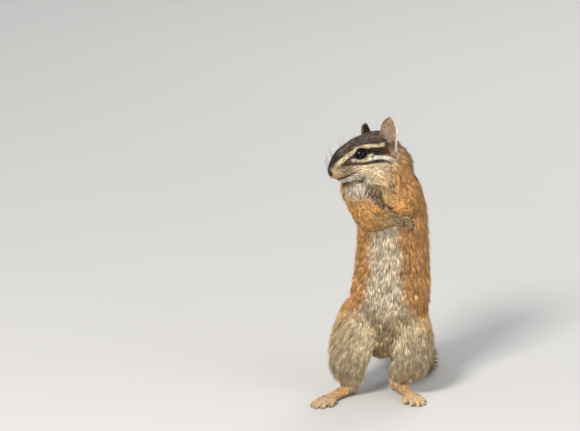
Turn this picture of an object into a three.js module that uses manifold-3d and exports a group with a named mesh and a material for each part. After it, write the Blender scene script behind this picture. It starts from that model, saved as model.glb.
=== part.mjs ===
// A chipmunk standing upright on its hind legs with both paws before its chest, life size.
// Lengths are in millimetres. +Z is up, the viewer looks along +Y, and the animal's left is at +X.
// The trunk is one smooth form, parted by thin plane cuts into torso, neck, head and legs.

import * as THREE from "three";
import { mergeVertices } from "three/addons/utils/BufferGeometryUtils.js";
import Module from "manifold-3d";

const wasm = await Module();
wasm.setup();
const { Manifold, Mesh: SolidMesh } = wasm;

// Driving dimensions
const GAP = 0.3; // between two nodes that touch
const SMOOTHING = 0.07; // how far a surface may move where small facets are merged
const TRUNK = [
  // centre x, y, z and radius to the tips of the coat, from the rump up to the nape
  [0.5, 4, 30, 15],
  [2.6, 3.4, 44, 18],
  [3.6, 2.8, 60, 16.9],
  [3.4, 1.5, 78, 16.1],
  [1.8, 0.5, 90, 15.7],
  [-0.5, -0.5, 99, 14.1],
  [-1.4, -1.4, 107, 12.6],
  [-3, -2.6, 111.5, 9.8],
];
const HEAD = {
  centre: [-9.3, -5, 114.6],
  turn: 59, // degrees from facing the viewer towards -X
  nod: 14.5, // degrees down
  roll: 15, // degrees, the crown away from the viewer
  noseReach: 20.9, // from the centre of the skull to the tip of the nose
};
const EYE = { forward: 5.6, out: 5.6, up: 0.8, radius: 3.2 };
const EAR = {
  back: { left: 7.8, right: 6.2 },
  out: 8,
  up: { left: -1.2, right: -2.7 },
  turned: { left: [0.62, 0.78], right: [0.42, -0.9] }, // the way the cup faces, forward and to the left
  height: 13.6,
  width: 9.6,
  thick: 0.9,
  cup: 2.3,
};
const LEGS = {
  left: {
    hip: [7.6, 3, 35, 12.2],
    thigh: [11.2, -4, 26.5, 10.8],
    knee: [12.4, -9.5, 19, 8.8],
    shin: [9.6, -7, 11.4, 6.2],
    ankle: [6.6, -4.4, 5.4, 3.2],
    heel: [5.8, -2.2, 2.5],
    toes: [16.2, -31],
  },
  right: {
    hip: [-7.4, 3, 35, 12.2],
    thigh: [-12.8, -4, 27, 11],
    knee: [-16, -10.5, 19.4, 9],
    shin: [-16.2, -10.4, 11.8, 6.4],
    ankle: [-15.8, -9.4, 5.6, 3.3],
    heel: [-15, -7.2, 2.6],
    toes: [-33, -34],
  },
};
const FOOT = { toeLength: 8.4, toeRadius: 1.05, ballHalfWidth: 3.1, claw: 2.2 };
const ARMS = {
  left: {
    shoulder: [8, -3, 96, 7.2],
    upper: [9, -8.2, 91.8, 6.0],
    elbow: [7.8, -12, 91, 4.7],
    fore: [3, -16, 95, 4],
    wrist: [-2, -18.8, 99.2, 2.7],
    palm: [-4.9, -19.8, 100.2, 2.7],
    knuckleWay: [-0.25, -0.85, 0.4], // the way the fingers leave the palm
    across: [0.86, -0.1, -0.35], // from the first finger to the fourth
    curl: [-0.3, -0.15, -0.92],
  },
  right: {
    shoulder: [-12.6, -4, 96.5, 7.6],
    upper: [-10.4, -10, 90.8, 6.9],
    elbow: [-7.4, -14.8, 87, 6.6],
    fore: [-1.6, -18.6, 86, 4.4],
    wrist: [3.6, -21, 86.6, 2.7],
    palm: [6.4, -22, 86.4, 2.6],
    knuckleWay: [0.95, -0.18, -0.1],
    across: [-0.08, 0.5, -0.86],
    curl: [0.75, 0.1, -0.6],
  },
};
const FINGER = { count: 4, length: 4.2, radius: 0.7, spread: 1.6, claw: 1.9 };
const TAIL = {
  path: [
    [3, 12, 23],
    [7.6, 17.6, 13.8],
    [12.4, 22.4, 8],
    [15, 31, 5.8],
    [14, 43, 5.4],
    [10.4, 56, 5.2],
    [6, 68, 4.8],
    [3, 78, 4.4],
  ],
  halfWidth: [3.2, 3.8, 4.2, 4.4, 4.4, 4.2, 3.4, 1.8], // of the core, at each point of the path
  flatness: 0.72, // thickness over width
  lengths: 3,
  lockLength: 14.5,
  lockWidth: 4.8,
  lockThick: 1.3,
  rowsPerLength: 4,
  locksPerRow: 6,
  tipLocks: 4,
  tipRise: 0.4, // how much less the locks at the tip stand out
};
const CELL = { torso: 4, leg: 3, foot: 1.45, head: 2.26, arm: 2.5, hand: 1.05 };
const COLOUR = {
  flank: 0xc08545,
  belly: 0xd2bf98,
  head: 0x6a5444,
  thigh: 0xb39c76,
  paw: 0xc7a477,
  ear: 0x9a8266,
  eye: 0x0c0a09,
  tail: 0x6b5036,
};

// Vectors and smooth shaping
const V = (x, y, z) => new THREE.Vector3(x, y, z);
const vec = (list) => V(list[0], list[1], list[2]);
const rad = THREE.MathUtils.degToRad;
const lerp = THREE.MathUtils.lerp;

// The lesser of two distances, with their meeting rounded over a width k.
function blend(a, b, k) {
  const h = Math.max(k - Math.abs(a - b), 0) / k;
  return Math.min(a, b) - (h * h * k) / 4;
}

// Balls set close along a smooth curve through points [x, y, z, radius].
function sweep(points, step) {
  const path = new THREE.CatmullRomCurve3(points.map(vec), false, "catmullrom", 0.5);
  const size = new THREE.CatmullRomCurve3(points.map((p) => V(p[3], 0, 0)), false, "catmullrom", 0.5);
  const count = Math.max(2, Math.ceil(path.getLength() / step));
  const balls = [];
  for (let i = 0; i <= count; i++) {
    balls.push({ at: path.getPoint(i / count), radius: size.getPoint(i / count).x });
  }
  return (p) => {
    let least = Infinity;
    for (const ball of balls) least = Math.min(least, p.distanceTo(ball.at) - ball.radius);
    return least;
  };
}

// A close estimate of the distance to an ellipsoid in the coordinates of p.
function ellipsoid(p, centre, radii) {
  const x = p.x - centre[0];
  const y = p.y - centre[1];
  const z = p.z - centre[2];
  const k0 = Math.hypot(x / radii[0], y / radii[1], z / radii[2]);
  const k1 = Math.hypot(x / radii[0] ** 2, y / radii[1] ** 2, z / radii[2] ** 2);
  return k1 < 1e-9 ? -Math.min(...radii) : (k0 * (k0 - 1)) / k1;
}

// The head's own axes: x forward to the nose, y to the animal's left, z to the crown
function headFrame() {
  const turn = rad(HEAD.turn - 90);
  const nod = rad(HEAD.nod);
  const roll = rad(HEAD.roll);
  const level = V(-Math.cos(turn), Math.sin(turn), 0);
  const forward = level.clone().multiplyScalar(Math.cos(nod)).add(V(0, 0, -Math.sin(nod)));
  const flatLeft = V(-level.y, level.x, 0);
  const flatUp = forward.clone().cross(flatLeft);
  const left = flatLeft.clone().multiplyScalar(Math.cos(roll)).addScaledVector(flatUp, Math.sin(roll));
  const up = forward.clone().cross(left);
  return new THREE.Matrix4().makeBasis(forward, left, up).setPosition(...HEAD.centre);
}
const headAxes = headFrame();
const toHead = headAxes.clone().invert();
const onHead = (x, y, z) => V(x, y, z).applyMatrix4(headAxes);
const alongHead = (x, y, z) => V(x, y, z).transformDirection(headAxes);

// Forms as distances, negative inside
const trunkForm = sweep(TRUNK, 2);

function headForm(world) {
  const p = world.clone().applyMatrix4(toHead);
  const skull = ellipsoid(p, [-3, 0, -0.4], [12.4, 9.6, 8.4]);
  const face = ellipsoid(p, [7, 0, -1], [11.6, 7.5, 8.3]);
  const side = V(p.x, Math.abs(p.y), p.z);
  const cheek = ellipsoid(side, [-0.5, 4.4, -5.6], [9.4, 5.8, 6.6]);
  const muzzle = Math.min(p.distanceTo(V(14.6, 0, -2.6)) - 4.3, p.distanceTo(V(16.8, 0, -2.7)) - 3.4);
  const nose = p.distanceTo(V(HEAD.noseReach - 2.5, 0, -2.5)) - 2.5;
  const pad = side.distanceTo(V(16.2, 2, -4.4)) - 2.3;
  const chin = Math.min(
    p.distanceTo(V(8, 0, -6)) - 4.6,
    p.distanceTo(V(11.6, 0, -6.6)) - 3.4,
    p.distanceTo(V(14.6, 0, -7.2)) - 2.1,
  );
  let d = blend(skull, face, 5);
  d = blend(d, cheek, 4);
  d = blend(d, blend(muzzle, nose, 2), 3);
  d = blend(d, pad, 1.5);
  return blend(d, chin, 2.5);
}

const legForms = Object.fromEntries(
  Object.entries(LEGS).map(([side, leg]) => [
    side,
    sweep([leg.hip, leg.thigh, leg.knee, leg.shin, leg.ankle], 1.5),
  ]),
);

// One foot: heel to ball, and five toes that fan out over the ball, flat on the floor.
function footParts(leg) {
  const heel = vec(leg.heel);
  const tip = V(leg.toes[0], leg.toes[1], FOOT.toeRadius);
  const way = tip.clone().sub(heel).setZ(0).normalize();
  const side = V(-way.y, way.x, 0);
  const reach = tip.clone().sub(heel).setZ(0).length();
  const toes = [];
  for (let i = -2; i <= 2; i++) {
    const length = FOOT.toeLength * (1 - 0.1 * i * i);
    const root = heel
      .clone()
      .addScaledVector(way, reach - FOOT.toeLength - FOOT.claw - 0.45 * i * i)
      .addScaledVector(side, (i * FOOT.ballHalfWidth * 0.95) / 2)
      .setZ(FOOT.toeRadius + 0.7);
    const spread = way.clone().addScaledVector(side, 0.17 * i).normalize();
    const bend = root.clone().addScaledVector(spread, length * 0.5).setZ(FOOT.toeRadius + 0.55);
    const end = root.clone().addScaledVector(spread, length).setZ(FOOT.toeRadius - 0.25);
    toes.push({ root, bend, end, spread });
  }
  const ball = heel.clone().addScaledVector(way, reach - FOOT.toeLength - FOOT.claw - 1.6).setZ(1.7);
  return { heel, ball, way, side, toes };
}

function footForm(leg) {
  const { heel, ball, side, toes } = footParts(leg);
  const ankle = vec(leg.ankle);
  const middle = heel.clone().lerp(ball, 0.5).setZ(2.7);
  const bone = sweep(
    [
      [...ankle.toArray(), leg.ankle[3]],
      [...ankle.clone().lerp(middle, 0.55).setZ(3.2).toArray(), 2.9],
      [...middle.toArray(), 2.6],
      [...ball.clone().setZ(2).toArray(), 2.1],
    ],
    1,
  );
  const heelForm = (p) => p.distanceTo(heel) - 2.5;
  const pads = [-1, 0, 1].map((i) => ball.clone().addScaledVector(side, i * 1.7));
  const toeForms = toes.map((toe) =>
    sweep(
      [
        [...toe.root.toArray(), FOOT.toeRadius * 1.25],
        [...toe.bend.toArray(), FOOT.toeRadius * 1.05],
        [...toe.end.toArray(), FOOT.toeRadius * 0.9],
      ],
      0.7,
    ),
  );
  return (p) => {
    let d = blend(bone(p), heelForm(p), 1.6);
    for (const pad of pads) d = blend(d, p.distanceTo(pad) - 1.9, 1.4);
    for (const toe of toeForms) d = blend(d, toe(p), 0.45);
    return d;
  };
}
const footForms = Object.fromEntries(Object.entries(LEGS).map(([side, leg]) => [side, footForm(leg)]));

// The trunk with head and legs, without arms, ears and tail
function bodyForm(p) {
  let d = blend(trunkForm(p), headForm(p), 4);
  d = blend(d, legForms.left(p), 3.6);
  d = blend(d, legForms.right(p), 3.6);
  d = blend(d, footForms.left(p), 1.6);
  return blend(d, footForms.right(p), 1.6);
}

function armForm(arm) {
  return sweep([arm.shoulder, arm.upper, arm.elbow, arm.fore, arm.wrist], 1.2);
}

// Four fingers leave the palm side by side, each bent once towards the curl.
function fingersOf(arm) {
  const palm = vec(arm.palm);
  const way = vec(arm.knuckleWay).normalize();
  const across = vec(arm.across).normalize();
  const curl = vec(arm.curl).normalize();
  const fingers = [];
  for (let i = 0; i < FINGER.count; i++) {
    const place = i - (FINGER.count - 1) / 2;
    const length = FINGER.length * (1 - 0.07 * place * place);
    const root = palm
      .clone()
      .addScaledVector(way, arm.palm[3] * 0.62)
      .addScaledVector(across, place * FINGER.spread);
    const knuckle = root
      .clone()
      .addScaledVector(way, length * 0.55)
      .addScaledVector(across, place * 0.16);
    const end = knuckle.clone().addScaledVector(curl, length * 0.55);
    fingers.push({ root, knuckle, end, way: end.clone().sub(knuckle).normalize() });
  }
  return fingers;
}

function handForm(arm) {
  const wrist = sweep([arm.fore, arm.wrist, arm.palm], 0.8);
  const fingers = fingersOf(arm).map((f) =>
    sweep(
      [
        [...f.root.toArray(), FINGER.radius * 1.15],
        [...f.knuckle.toArray(), FINGER.radius],
        [...f.end.toArray(), FINGER.radius * 0.85],
      ],
      0.5,
    ),
  );
  return (p) => {
    let d = wrist(p);
    for (const finger of fingers) d = blend(d, finger(p), 0.4);
    return d;
  };
}

// Solids
function solidOf(geometry) {
  const bare = geometry.index ? geometry.clone() : mergeVertices(geometry.clone());
  for (const name of Object.keys(bare.attributes)) {
    if (name !== "position") bare.deleteAttribute(name);
  }
  const merged = mergeVertices(bare, 1e-4);
  return new Manifold(
    new SolidMesh({
      numProp: 3,
      vertProperties: new Float32Array(merged.attributes.position.array),
      triVerts: new Uint32Array(merged.index.array),
    }),
  );
}

function geometryOf(solid) {
  const mesh = solid.getMesh();
  const geometry = new THREE.BufferGeometry();
  geometry.setAttribute("position", new THREE.BufferAttribute(new Float32Array(mesh.vertProperties), 3));
  geometry.setIndex(new THREE.BufferAttribute(new Uint32Array(mesh.triVerts), 1));
  geometry.computeVertexNormals();
  return geometry;
}

// For each pattern of inside corners of a cell: whether the surface would touch itself there
const inPieces = (pattern) => {
  const left = new Set([0, 1, 2, 3, 4, 5, 6, 7].filter((c) => (pattern >> c) & 1));
  let pieces = 0;
  while (left.size) {
    const queue = [left.values().next().value];
    left.delete(queue[0]);
    pieces++;
    while (queue.length) {
      const corner = queue.pop();
      for (const step of [1, 2, 4]) if (left.delete(corner ^ step)) queue.push(corner ^ step);
    }
  }
  return pieces;
};
const TOUCHES = Array.from({ length: 256 }, (_, i) => inPieces(i) > 1 || inPieces(255 - i) > 1);

// Fills the notches where the surface would touch itself, so that each edge has two faces.
function partTouching(values, n, index) {
  for (let pass = 0, changed = true; changed && pass < 20; pass++) {
    changed = false;
    for (let k = 0; k < n[2] - 1; k++) {
      for (let j = 0; j < n[1] - 1; j++) {
        for (let i = 0; i < n[0] - 1; i++) {
          let pattern = 0;
          let nearest = -1;
          for (let c = 0; c < 8; c++) {
            const at = index(i + (c & 1), j + ((c >> 1) & 1), k + ((c >> 2) & 1));
            if (values[at] < 0) pattern |= 1 << c;
            else if (nearest < 0 || values[at] < values[nearest]) nearest = at;
          }
          if (!TOUCHES[pattern]) continue;
          values[nearest] = -1e-3;
          changed = true;
        }
      }
    }
  }
}

// The surface where a form is zero, as one vertex in each grid cell that it crosses and a
// quad round each grid edge that it crosses. The vertices are drawn onto the surface.
function meshForm(form, low, high, cell) {
  const size = high.clone().sub(low);
  const n = [size.x, size.y, size.z].map((s) => Math.ceil(s / cell) + 3);
  const base = low.clone().subScalar(cell);
  const inBox = (p) =>
    Math.max(low.x - p.x, p.x - high.x, low.y - p.y, p.y - high.y, low.z - p.z, p.z - high.z);
  const value = (p) => Math.max(form(p), inBox(p));
  const index = (i, j, k) => i + n[0] * (j + n[1] * k);
  const corner = (i, j, k) => V(base.x + i * cell, base.y + j * cell, base.z + k * cell);
  const values = new Float32Array(n[0] * n[1] * n[2]);
  for (let k = 0; k < n[2]; k++) {
    for (let j = 0; j < n[1]; j++) {
      for (let i = 0; i < n[0]; i++) values[index(i, j, k)] = value(corner(i, j, k));
    }
  }
  partTouching(values, n, index);
  const axes = [V(1, 0, 0), V(0, 1, 0), V(0, 0, 1)];
  const slope = (p) => {
    const e = cell * 0.05;
    return V(
      ...axes.map(
        (a) => (value(p.clone().addScaledVector(a, e)) - value(p.clone().addScaledVector(a, -e))) / (2 * e),
      ),
    );
  };
  const points = [];
  const cellPoint = new Map();
  for (let k = 0; k < n[2] - 1; k++) {
    for (let j = 0; j < n[1] - 1; j++) {
      for (let i = 0; i < n[0] - 1; i++) {
        const sum = V(0, 0, 0);
        let crossings = 0;
        for (let a = 0; a < 3; a++) {
          for (let u = 0; u < 2; u++) {
            for (let v = 0; v < 2; v++) {
              const start = [i, j, k];
              start[(a + 1) % 3] += u;
              start[(a + 2) % 3] += v;
              const end = [...start];
              end[a] += 1;
              const f0 = values[index(...start)];
              const f1 = values[index(...end)];
              if (f0 < 0 === f1 < 0) continue;
              sum.add(corner(...start).lerp(corner(...end), f0 / (f0 - f1)));
              crossings++;
            }
          }
        }
        if (!crossings) continue;
        const p = sum.divideScalar(crossings);
        const low1 = corner(i, j, k);
        const high1 = corner(i + 1, j + 1, k + 1);
        for (let pull = 0; pull < 3; pull++) {
          const g = slope(p);
          p.addScaledVector(g, -value(p) / Math.max(g.lengthSq(), 0.2)).clamp(low1, high1);
        }
        cellPoint.set(index(i, j, k), points.length);
        points.push(p);
      }
    }
  }
  const faces = [];
  for (let k = 0; k < n[2] - 1; k++) {
    for (let j = 0; j < n[1] - 1; j++) {
      for (let i = 0; i < n[0] - 1; i++) {
        for (let a = 0; a < 3; a++) {
          const end = [i, j, k];
          if (end[(a + 1) % 3] === 0 || end[(a + 2) % 3] === 0) continue;
          end[a] += 1;
          const f0 = values[index(i, j, k)];
          const f1 = values[index(...end)];
          if (f0 < 0 === f1 < 0) continue;
          const ring = [
            [0, 0],
            [-1, 0],
            [-1, -1],
            [0, -1],
          ].map(([u, v]) => {
            const at = [i, j, k];
            at[(a + 1) % 3] += u;
            at[(a + 2) % 3] += v;
            return cellPoint.get(index(...at));
          });
          if (f0 >= 0) ring.reverse();
          const [p, q, r, s] = ring;
          if (points[p].distanceTo(points[r]) < points[q].distanceTo(points[s])) {
            faces.push(p, q, r, p, r, s);
          } else {
            faces.push(p, q, s, q, r, s);
          }
        }
      }
    }
  }
  const geometry = new THREE.BufferGeometry();
  geometry.setAttribute(
    "position",
    new THREE.Float32BufferAttribute(points.flatMap((p) => p.toArray()), 3),
  );
  geometry.setIndex(faces);
  return new Manifold(
    new SolidMesh({
      numProp: 3,
      vertProperties: new Float32Array(geometry.attributes.position.array),
      triVerts: new Uint32Array(geometry.index.array),
    }),
  );
}

// Everything on the side of a plane that its normal points to, kept back by half a gap.
const FAR = 300;
function beyond(point, normal, gap = GAP / 2) {
  const n = normal.clone().normalize();
  const turn = new THREE.Quaternion().setFromUnitVectors(V(0, 0, 1), n);
  const middle = point.clone().addScaledVector(n, gap + FAR / 2);
  const box = new THREE.BoxGeometry(FAR, FAR, FAR);
  return solidOf(box.applyMatrix4(new THREE.Matrix4().compose(middle, turn, V(1, 1, 1))));
}
const before = (point, normal, gap = GAP / 2) => beyond(point, normal.clone().negate(), gap);

const largest = (solid) => solid.decompose().sort((a, b) => b.volume() - a.volume())[0];
const cutTo = (solid, ...spaces) => largest(spaces.reduce((s, space) => s.intersect(space), solid));
const floorUp = beyond(V(0, 0, 0), V(0, 0, 1), 0);

// A ball stretched and turned, for sockets, nostrils and the like
function stretchedBall(at, axes, radii, sides = 14) {
  const ball = new THREE.SphereGeometry(1, sides, Math.round(sides * 0.7));
  const place = axes.clone().setPosition(at).multiply(new THREE.Matrix4().makeScale(...radii));
  return solidOf(ball.applyMatrix4(place));
}
const unturned = new THREE.Matrix4();
const turnedLike = (m) => new THREE.Matrix4().extractRotation(m);

// A thin cone from root along way, for a claw
function claw(root, way, length, radius) {
  const cone = new THREE.ConeGeometry(radius, length, 5);
  const turn = new THREE.Quaternion().setFromUnitVectors(V(0, 1, 0), way.clone().normalize());
  const middle = root.clone().addScaledVector(way.clone().normalize(), length / 2);
  return solidOf(cone.applyMatrix4(new THREE.Matrix4().compose(middle, turn, V(1, 1, 1))));
}

// The planes that part the body
const neckCut = { at: V(-1.3, -0.6, 100), way: V(-0.12, -0.1, 0.98) };
const headCut = { at: onHead(-7.5, 0, -4), way: alongHead(0.777, 0, 0.63) };
const crotchX = 1;
const hipCuts = {
  left: { at: V(crotchX, -8, 19.5), way: V(0.7, -0.33, -0.63) },
  right: { at: V(crotchX, -8, 19.5), way: V(-0.7, -0.33, -0.63) },
};
const between = { left: V(1, 0, 0), right: V(-1, 0, 0) };
const kneeCut = (leg) => ({ at: vec(leg.shin).setZ(13.5), way: V(0, 0.35, -0.94) });
const ankleCut = (leg) => ({ at: vec(leg.ankle).setZ(6.4), way: V(0, 0.1, -1) });

const paint = (colour, roughness = 0.85) =>
  new THREE.MeshStandardMaterial({ color: colour, roughness, metalness: 0 });
const chipmunk = new THREE.Group();
chipmunk.name = "chipmunk";
function addNode(name, solid, colour, roughness) {
  const plain = largest(solid.simplify(SMOOTHING));
  const mesh = new THREE.Mesh(geometryOf(plain), paint(colour, roughness));
  mesh.name = name;
  chipmunk.add(mesh);
}

// Torso and neck
const grown = (form, by) => (p) => form(p) - by;
const trunkLow = V(-34, -32, 0.1);
const trunkHigh = V(30, 26, 120);
const trunkSolid = meshForm(bodyForm, trunkLow, trunkHigh, CELL.torso);
const torso = cutTo(
  trunkSolid,
  before(neckCut.at, neckCut.way),
  before(hipCuts.left.at, hipCuts.left.way),
  before(hipCuts.right.at, hipCuts.right.way),
);
addNode("torso", torso, COLOUR.flank);
const neck = cutTo(trunkSolid, beyond(neckCut.at, neckCut.way), before(headCut.at, headCut.way));
addNode("neck", neck, COLOUR.flank);

// What neighbours of the trunk are cut clear of
const clearOfTrunk = meshForm(grown(bodyForm, GAP + 0.12), trunkLow, trunkHigh, CELL.torso);

// Head
const sides = { left: 1, right: -1 };
const headLow = V(-36, -30, 94);
const headHigh = V(16, 16, 130);
const headSolid = meshForm(bodyForm, headLow, headHigh, CELL.head);

const eyeAt = (side) => onHead(EYE.forward, EYE.out * sides[side], EYE.up);
const eyeWay = (side) => alongHead(0.3, 0.9 * sides[side], 0.22);

// A rim round the eye, in the plane across its gaze, a little longer than it is high
function lids(side) {
  const rim = new THREE.TorusGeometry(EYE.radius * 0.9, 0.62, 6, 18);
  const gaze = eyeWay(side);
  const along = alongHead(1, 0, -0.32).projectOnPlane(gaze).normalize();
  const over = gaze.clone().cross(along);
  const place = new THREE.Matrix4()
    .makeBasis(along, over, gaze)
    .setPosition(eyeAt(side).addScaledVector(gaze, EYE.radius * 0.52));
  return solidOf(rim.applyMatrix4(place.multiply(new THREE.Matrix4().makeScale(1.06, 0.88, 1))));
}

// The gap between the lips, seen from the side: a thin curved wedge, open at the nose
function mouthGap() {
  const corner = new THREE.Vector2(10.4, -5.6);
  const upper = new THREE.QuadraticBezierCurve(corner, new THREE.Vector2(15, -6.6), new THREE.Vector2(22, -5.2));
  const lower = new THREE.QuadraticBezierCurve(new THREE.Vector2(22, -6.2), new THREE.Vector2(15, -7.2), corner);
  const outline = new THREE.Shape([...upper.getPoints(6), ...lower.getPoints(6).slice(0, -1)]);
  const slab = new THREE.ExtrudeGeometry(outline, { depth: 24, bevelEnabled: false });
  const upright = new THREE.Matrix4().makeBasis(V(1, 0, 0), V(0, 0, 1), V(0, -1, 0)).setPosition(0, 12, 0);
  return solidOf(slab.applyMatrix4(headAxes.clone().multiply(upright)));
}

let head = cutTo(headSolid, beyond(headCut.at, headCut.way), beyond(neckCut.at, neckCut.way));
for (const side of Object.keys(sides)) {
  head = head.add(lids(side));
  head = head.subtract(
    stretchedBall(eyeAt(side), unturned, [EYE.radius + GAP, EYE.radius + GAP, EYE.radius + GAP], 18),
  );
  const nostril = onHead(HEAD.noseReach - 0.35, 1.15 * sides[side], -2.7);
  head = head.subtract(stretchedBall(nostril, turnedLike(headAxes), [0.8, 0.45, 0.65], 8));
}
head = largest(head.subtract(mouthGap()));
addNode("head", head, COLOUR.head);

for (const side of Object.keys(sides)) {
  const round = new THREE.SphereGeometry(EYE.radius, 16, 11);
  const solid = solidOf(round.applyMatrix4(new THREE.Matrix4().setPosition(eyeAt(side))));
  addNode(`eye_${side}`, solid, COLOUR.eye, 0.08);
}

// An ear: a leaf, wide below and rounded at the tip, cupped so that its hollow faces the way open.
function ear(side) {
  const out = sides[side];
  const root = onHead(-EAR.back[side], EAR.out * out, EAR.up[side]);
  const up = alongHead(-0.3, 0.3 * out, 1);
  const open = alongHead(EAR.turned[side][0], EAR.turned[side][1], 0.05).projectOnPlane(up).normalize();
  const across = up.clone().cross(open);
  const rows = 9;
  const columns = 8;
  const sunk = 3.2;
  const point = (r, c, back) => {
    const t = r / rows;
    const s = (2 * c) / columns - 1;
    const half = (EAR.width / 2) * Math.sqrt(Math.max(1 - t ** 2.6, 0)) * (0.8 + 0.45 * t - 0.25 * t * t);
    const depth = EAR.cup * s * s * (1 - 0.55 * t) + 0.6 * t * t;
    const rim = Math.min(1, 3.2 * (1 - Math.abs(s))) * Math.min(1, 6 * (1 - t));
    const thick = EAR.thick * (0.35 + 0.65 * rim);
    return root
      .clone()
      .addScaledVector(up, -sunk + t * (EAR.height + sunk))
      .addScaledVector(across, s * half)
      .addScaledVector(open, depth - EAR.cup * 0.6 - (back ? thick : 0));
  };
  const vertices = [];
  const faces = [];
  const width = columns + 1;
  for (const back of [false, true]) {
    for (let r = 0; r < rows; r++) {
      for (let c = 0; c <= columns; c++) vertices.push(...point(r, c, back).toArray());
    }
  }
  const layer = rows * width;
  const frontTip = 2 * layer;
  vertices.push(...point(rows, columns / 2, false).toArray(), ...point(rows, columns / 2, true).toArray());
  const quad = (a, b, c, d) => faces.push(a, b, c, a, c, d);
  for (let r = 0; r < rows - 1; r++) {
    for (let c = 0; c < columns; c++) {
      const a = r * width + c;
      quad(a, a + 1, a + 1 + width, a + width);
      quad(layer + a, layer + a + width, layer + a + width + 1, layer + a + 1);
    }
    const right = r * width + columns;
    const left = r * width;
    quad(right, right + layer, right + layer + width, right + width);
    quad(left, left + width, left + layer + width, left + layer);
  }
  const last = (rows - 1) * width;
  for (let c = 0; c < columns; c++) {
    quad(c, c + layer, c + layer + 1, c + 1);
    faces.push(last + c, last + c + 1, frontTip);
    faces.push(last + layer + c + 1, last + layer + c, frontTip + 1);
  }
  faces.push(last + columns, last + columns + layer, frontTip + 1);
  faces.push(last + columns, frontTip + 1, frontTip);
  faces.push(last + layer, last, frontTip);
  faces.push(last + layer, frontTip, frontTip + 1);
  const geometry = new THREE.BufferGeometry();
  geometry.setAttribute("position", new THREE.Float32BufferAttribute(vertices, 3));
  geometry.setIndex(faces);
  const solid = solidOf(geometry);
  return solid;
}
const clearOfHead = meshForm(grown(bodyForm, GAP + 0.08), headLow, headHigh, CELL.head);
for (const side of Object.keys(sides)) {
  addNode(`ear_${side}`, largest(ear(side).subtract(clearOfHead)), COLOUR.ear);
}

// Hind legs
for (const [side, leg] of Object.entries(LEGS)) {
  const knee = kneeCut(leg);
  const ankle = ankleCut(leg);
  const middle = leg.knee[0];
  const low = V(middle - 22, -26, 0.1);
  const high = V(middle + 22, 24, 52);
  const legSolid = meshForm(bodyForm, low, high, CELL.leg);
  const ownSide = beyond(V(crotchX, 0, 0), between[side]);
  const thigh = cutTo(
    legSolid,
    beyond(hipCuts[side].at, hipCuts[side].way),
    before(knee.at, knee.way),
    ownSide,
  );
  addNode(`thigh_${side}`, thigh, COLOUR.thigh);
  const shin = cutTo(
    legSolid,
    beyond(hipCuts[side].at, hipCuts[side].way),
    beyond(knee.at, knee.way),
    before(ankle.at, ankle.way),
    ownSide,
  );
  addNode(`shin_${side}`, shin, COLOUR.thigh);

  const parts = footParts(leg);
  const footBox = new THREE.Box3().setFromPoints([parts.heel, ...parts.toes.map((t) => t.end)]);
  footBox.expandByScalar(5);
  let foot = meshForm(bodyForm, footBox.min.setZ(-2), footBox.max.setZ(9), CELL.foot);
  foot = cutTo(foot, beyond(ankle.at, ankle.way), ownSide);
  for (const toe of parts.toes) {
    const way = toe.spread.clone().setZ(-0.12);
    foot = foot.add(claw(toe.end.clone().setZ(0.95).addScaledVector(toe.spread, 0.3), way, FOOT.claw, 0.5));
  }
  addNode(`foot_${side}`, cutTo(foot, floorUp), COLOUR.paw);
}

// Arms: each upper arm is cut clear of the trunk that it lies on, and each forearm of the chest.
for (const [side, arm] of Object.entries(ARMS)) {
  const form = armForm(arm);
  const centre = vec(arm.elbow);
  const low = centre.clone().subScalar(26);
  const high = centre.clone().addScalar(26);
  const solid = meshForm(form, low, high, CELL.arm).subtract(clearOfTrunk);
  const elbowAt = vec(arm.elbow).lerp(vec(arm.fore), 0.25);
  const elbowWay = vec(arm.fore).sub(vec(arm.upper));
  const wristAt = vec(arm.fore).lerp(vec(arm.wrist), 0.72);
  const wristWay = vec(arm.wrist).sub(vec(arm.fore));
  addNode(`upper_arm_${side}`, cutTo(solid, before(elbowAt, elbowWay)), COLOUR.flank);
  addNode(
    `forearm_${side}`,
    cutTo(solid, beyond(elbowAt, elbowWay), before(wristAt, wristWay)),
    COLOUR.flank,
  );
  const fingers = fingersOf(arm);
  const box = new THREE.Box3().setFromPoints([vec(arm.fore), vec(arm.wrist), ...fingers.map((f) => f.end)]);
  box.expandByScalar(4.5);
  let hand = meshForm(handForm(arm), box.min, box.max, CELL.hand);
  hand = cutTo(hand, beyond(wristAt, wristWay));
  for (const finger of fingers) hand = hand.add(claw(finger.end, finger.way, FINGER.claw, 0.38));
  addNode(`paw_${side}`, largest(hand.subtract(clearOfTrunk)), COLOUR.paw);
}

// Tail: a flattened core in three lengths, each set with tapered locks that lean back along it
const tailPath = new THREE.CatmullRomCurve3(TAIL.path.map(vec), false, "catmullrom", 0.5);
const tailSize = new THREE.CatmullRomCurve3(
  TAIL.halfWidth.map((w) => V(w, 0, 0)),
  false,
  "catmullrom",
  0.5,
);
function tailFrame(u) {
  const at = tailPath.getPoint(u);
  const back = tailPath.getTangent(u);
  const wide = V(0, 0, 1).cross(back);
  if (wide.lengthSq() < 1e-4) wide.set(1, 0, 0);
  wide.normalize();
  const thick = back.clone().cross(wide);
  return { at, back, wide, thick, half: tailSize.getPoint(u).x };
}

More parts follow.
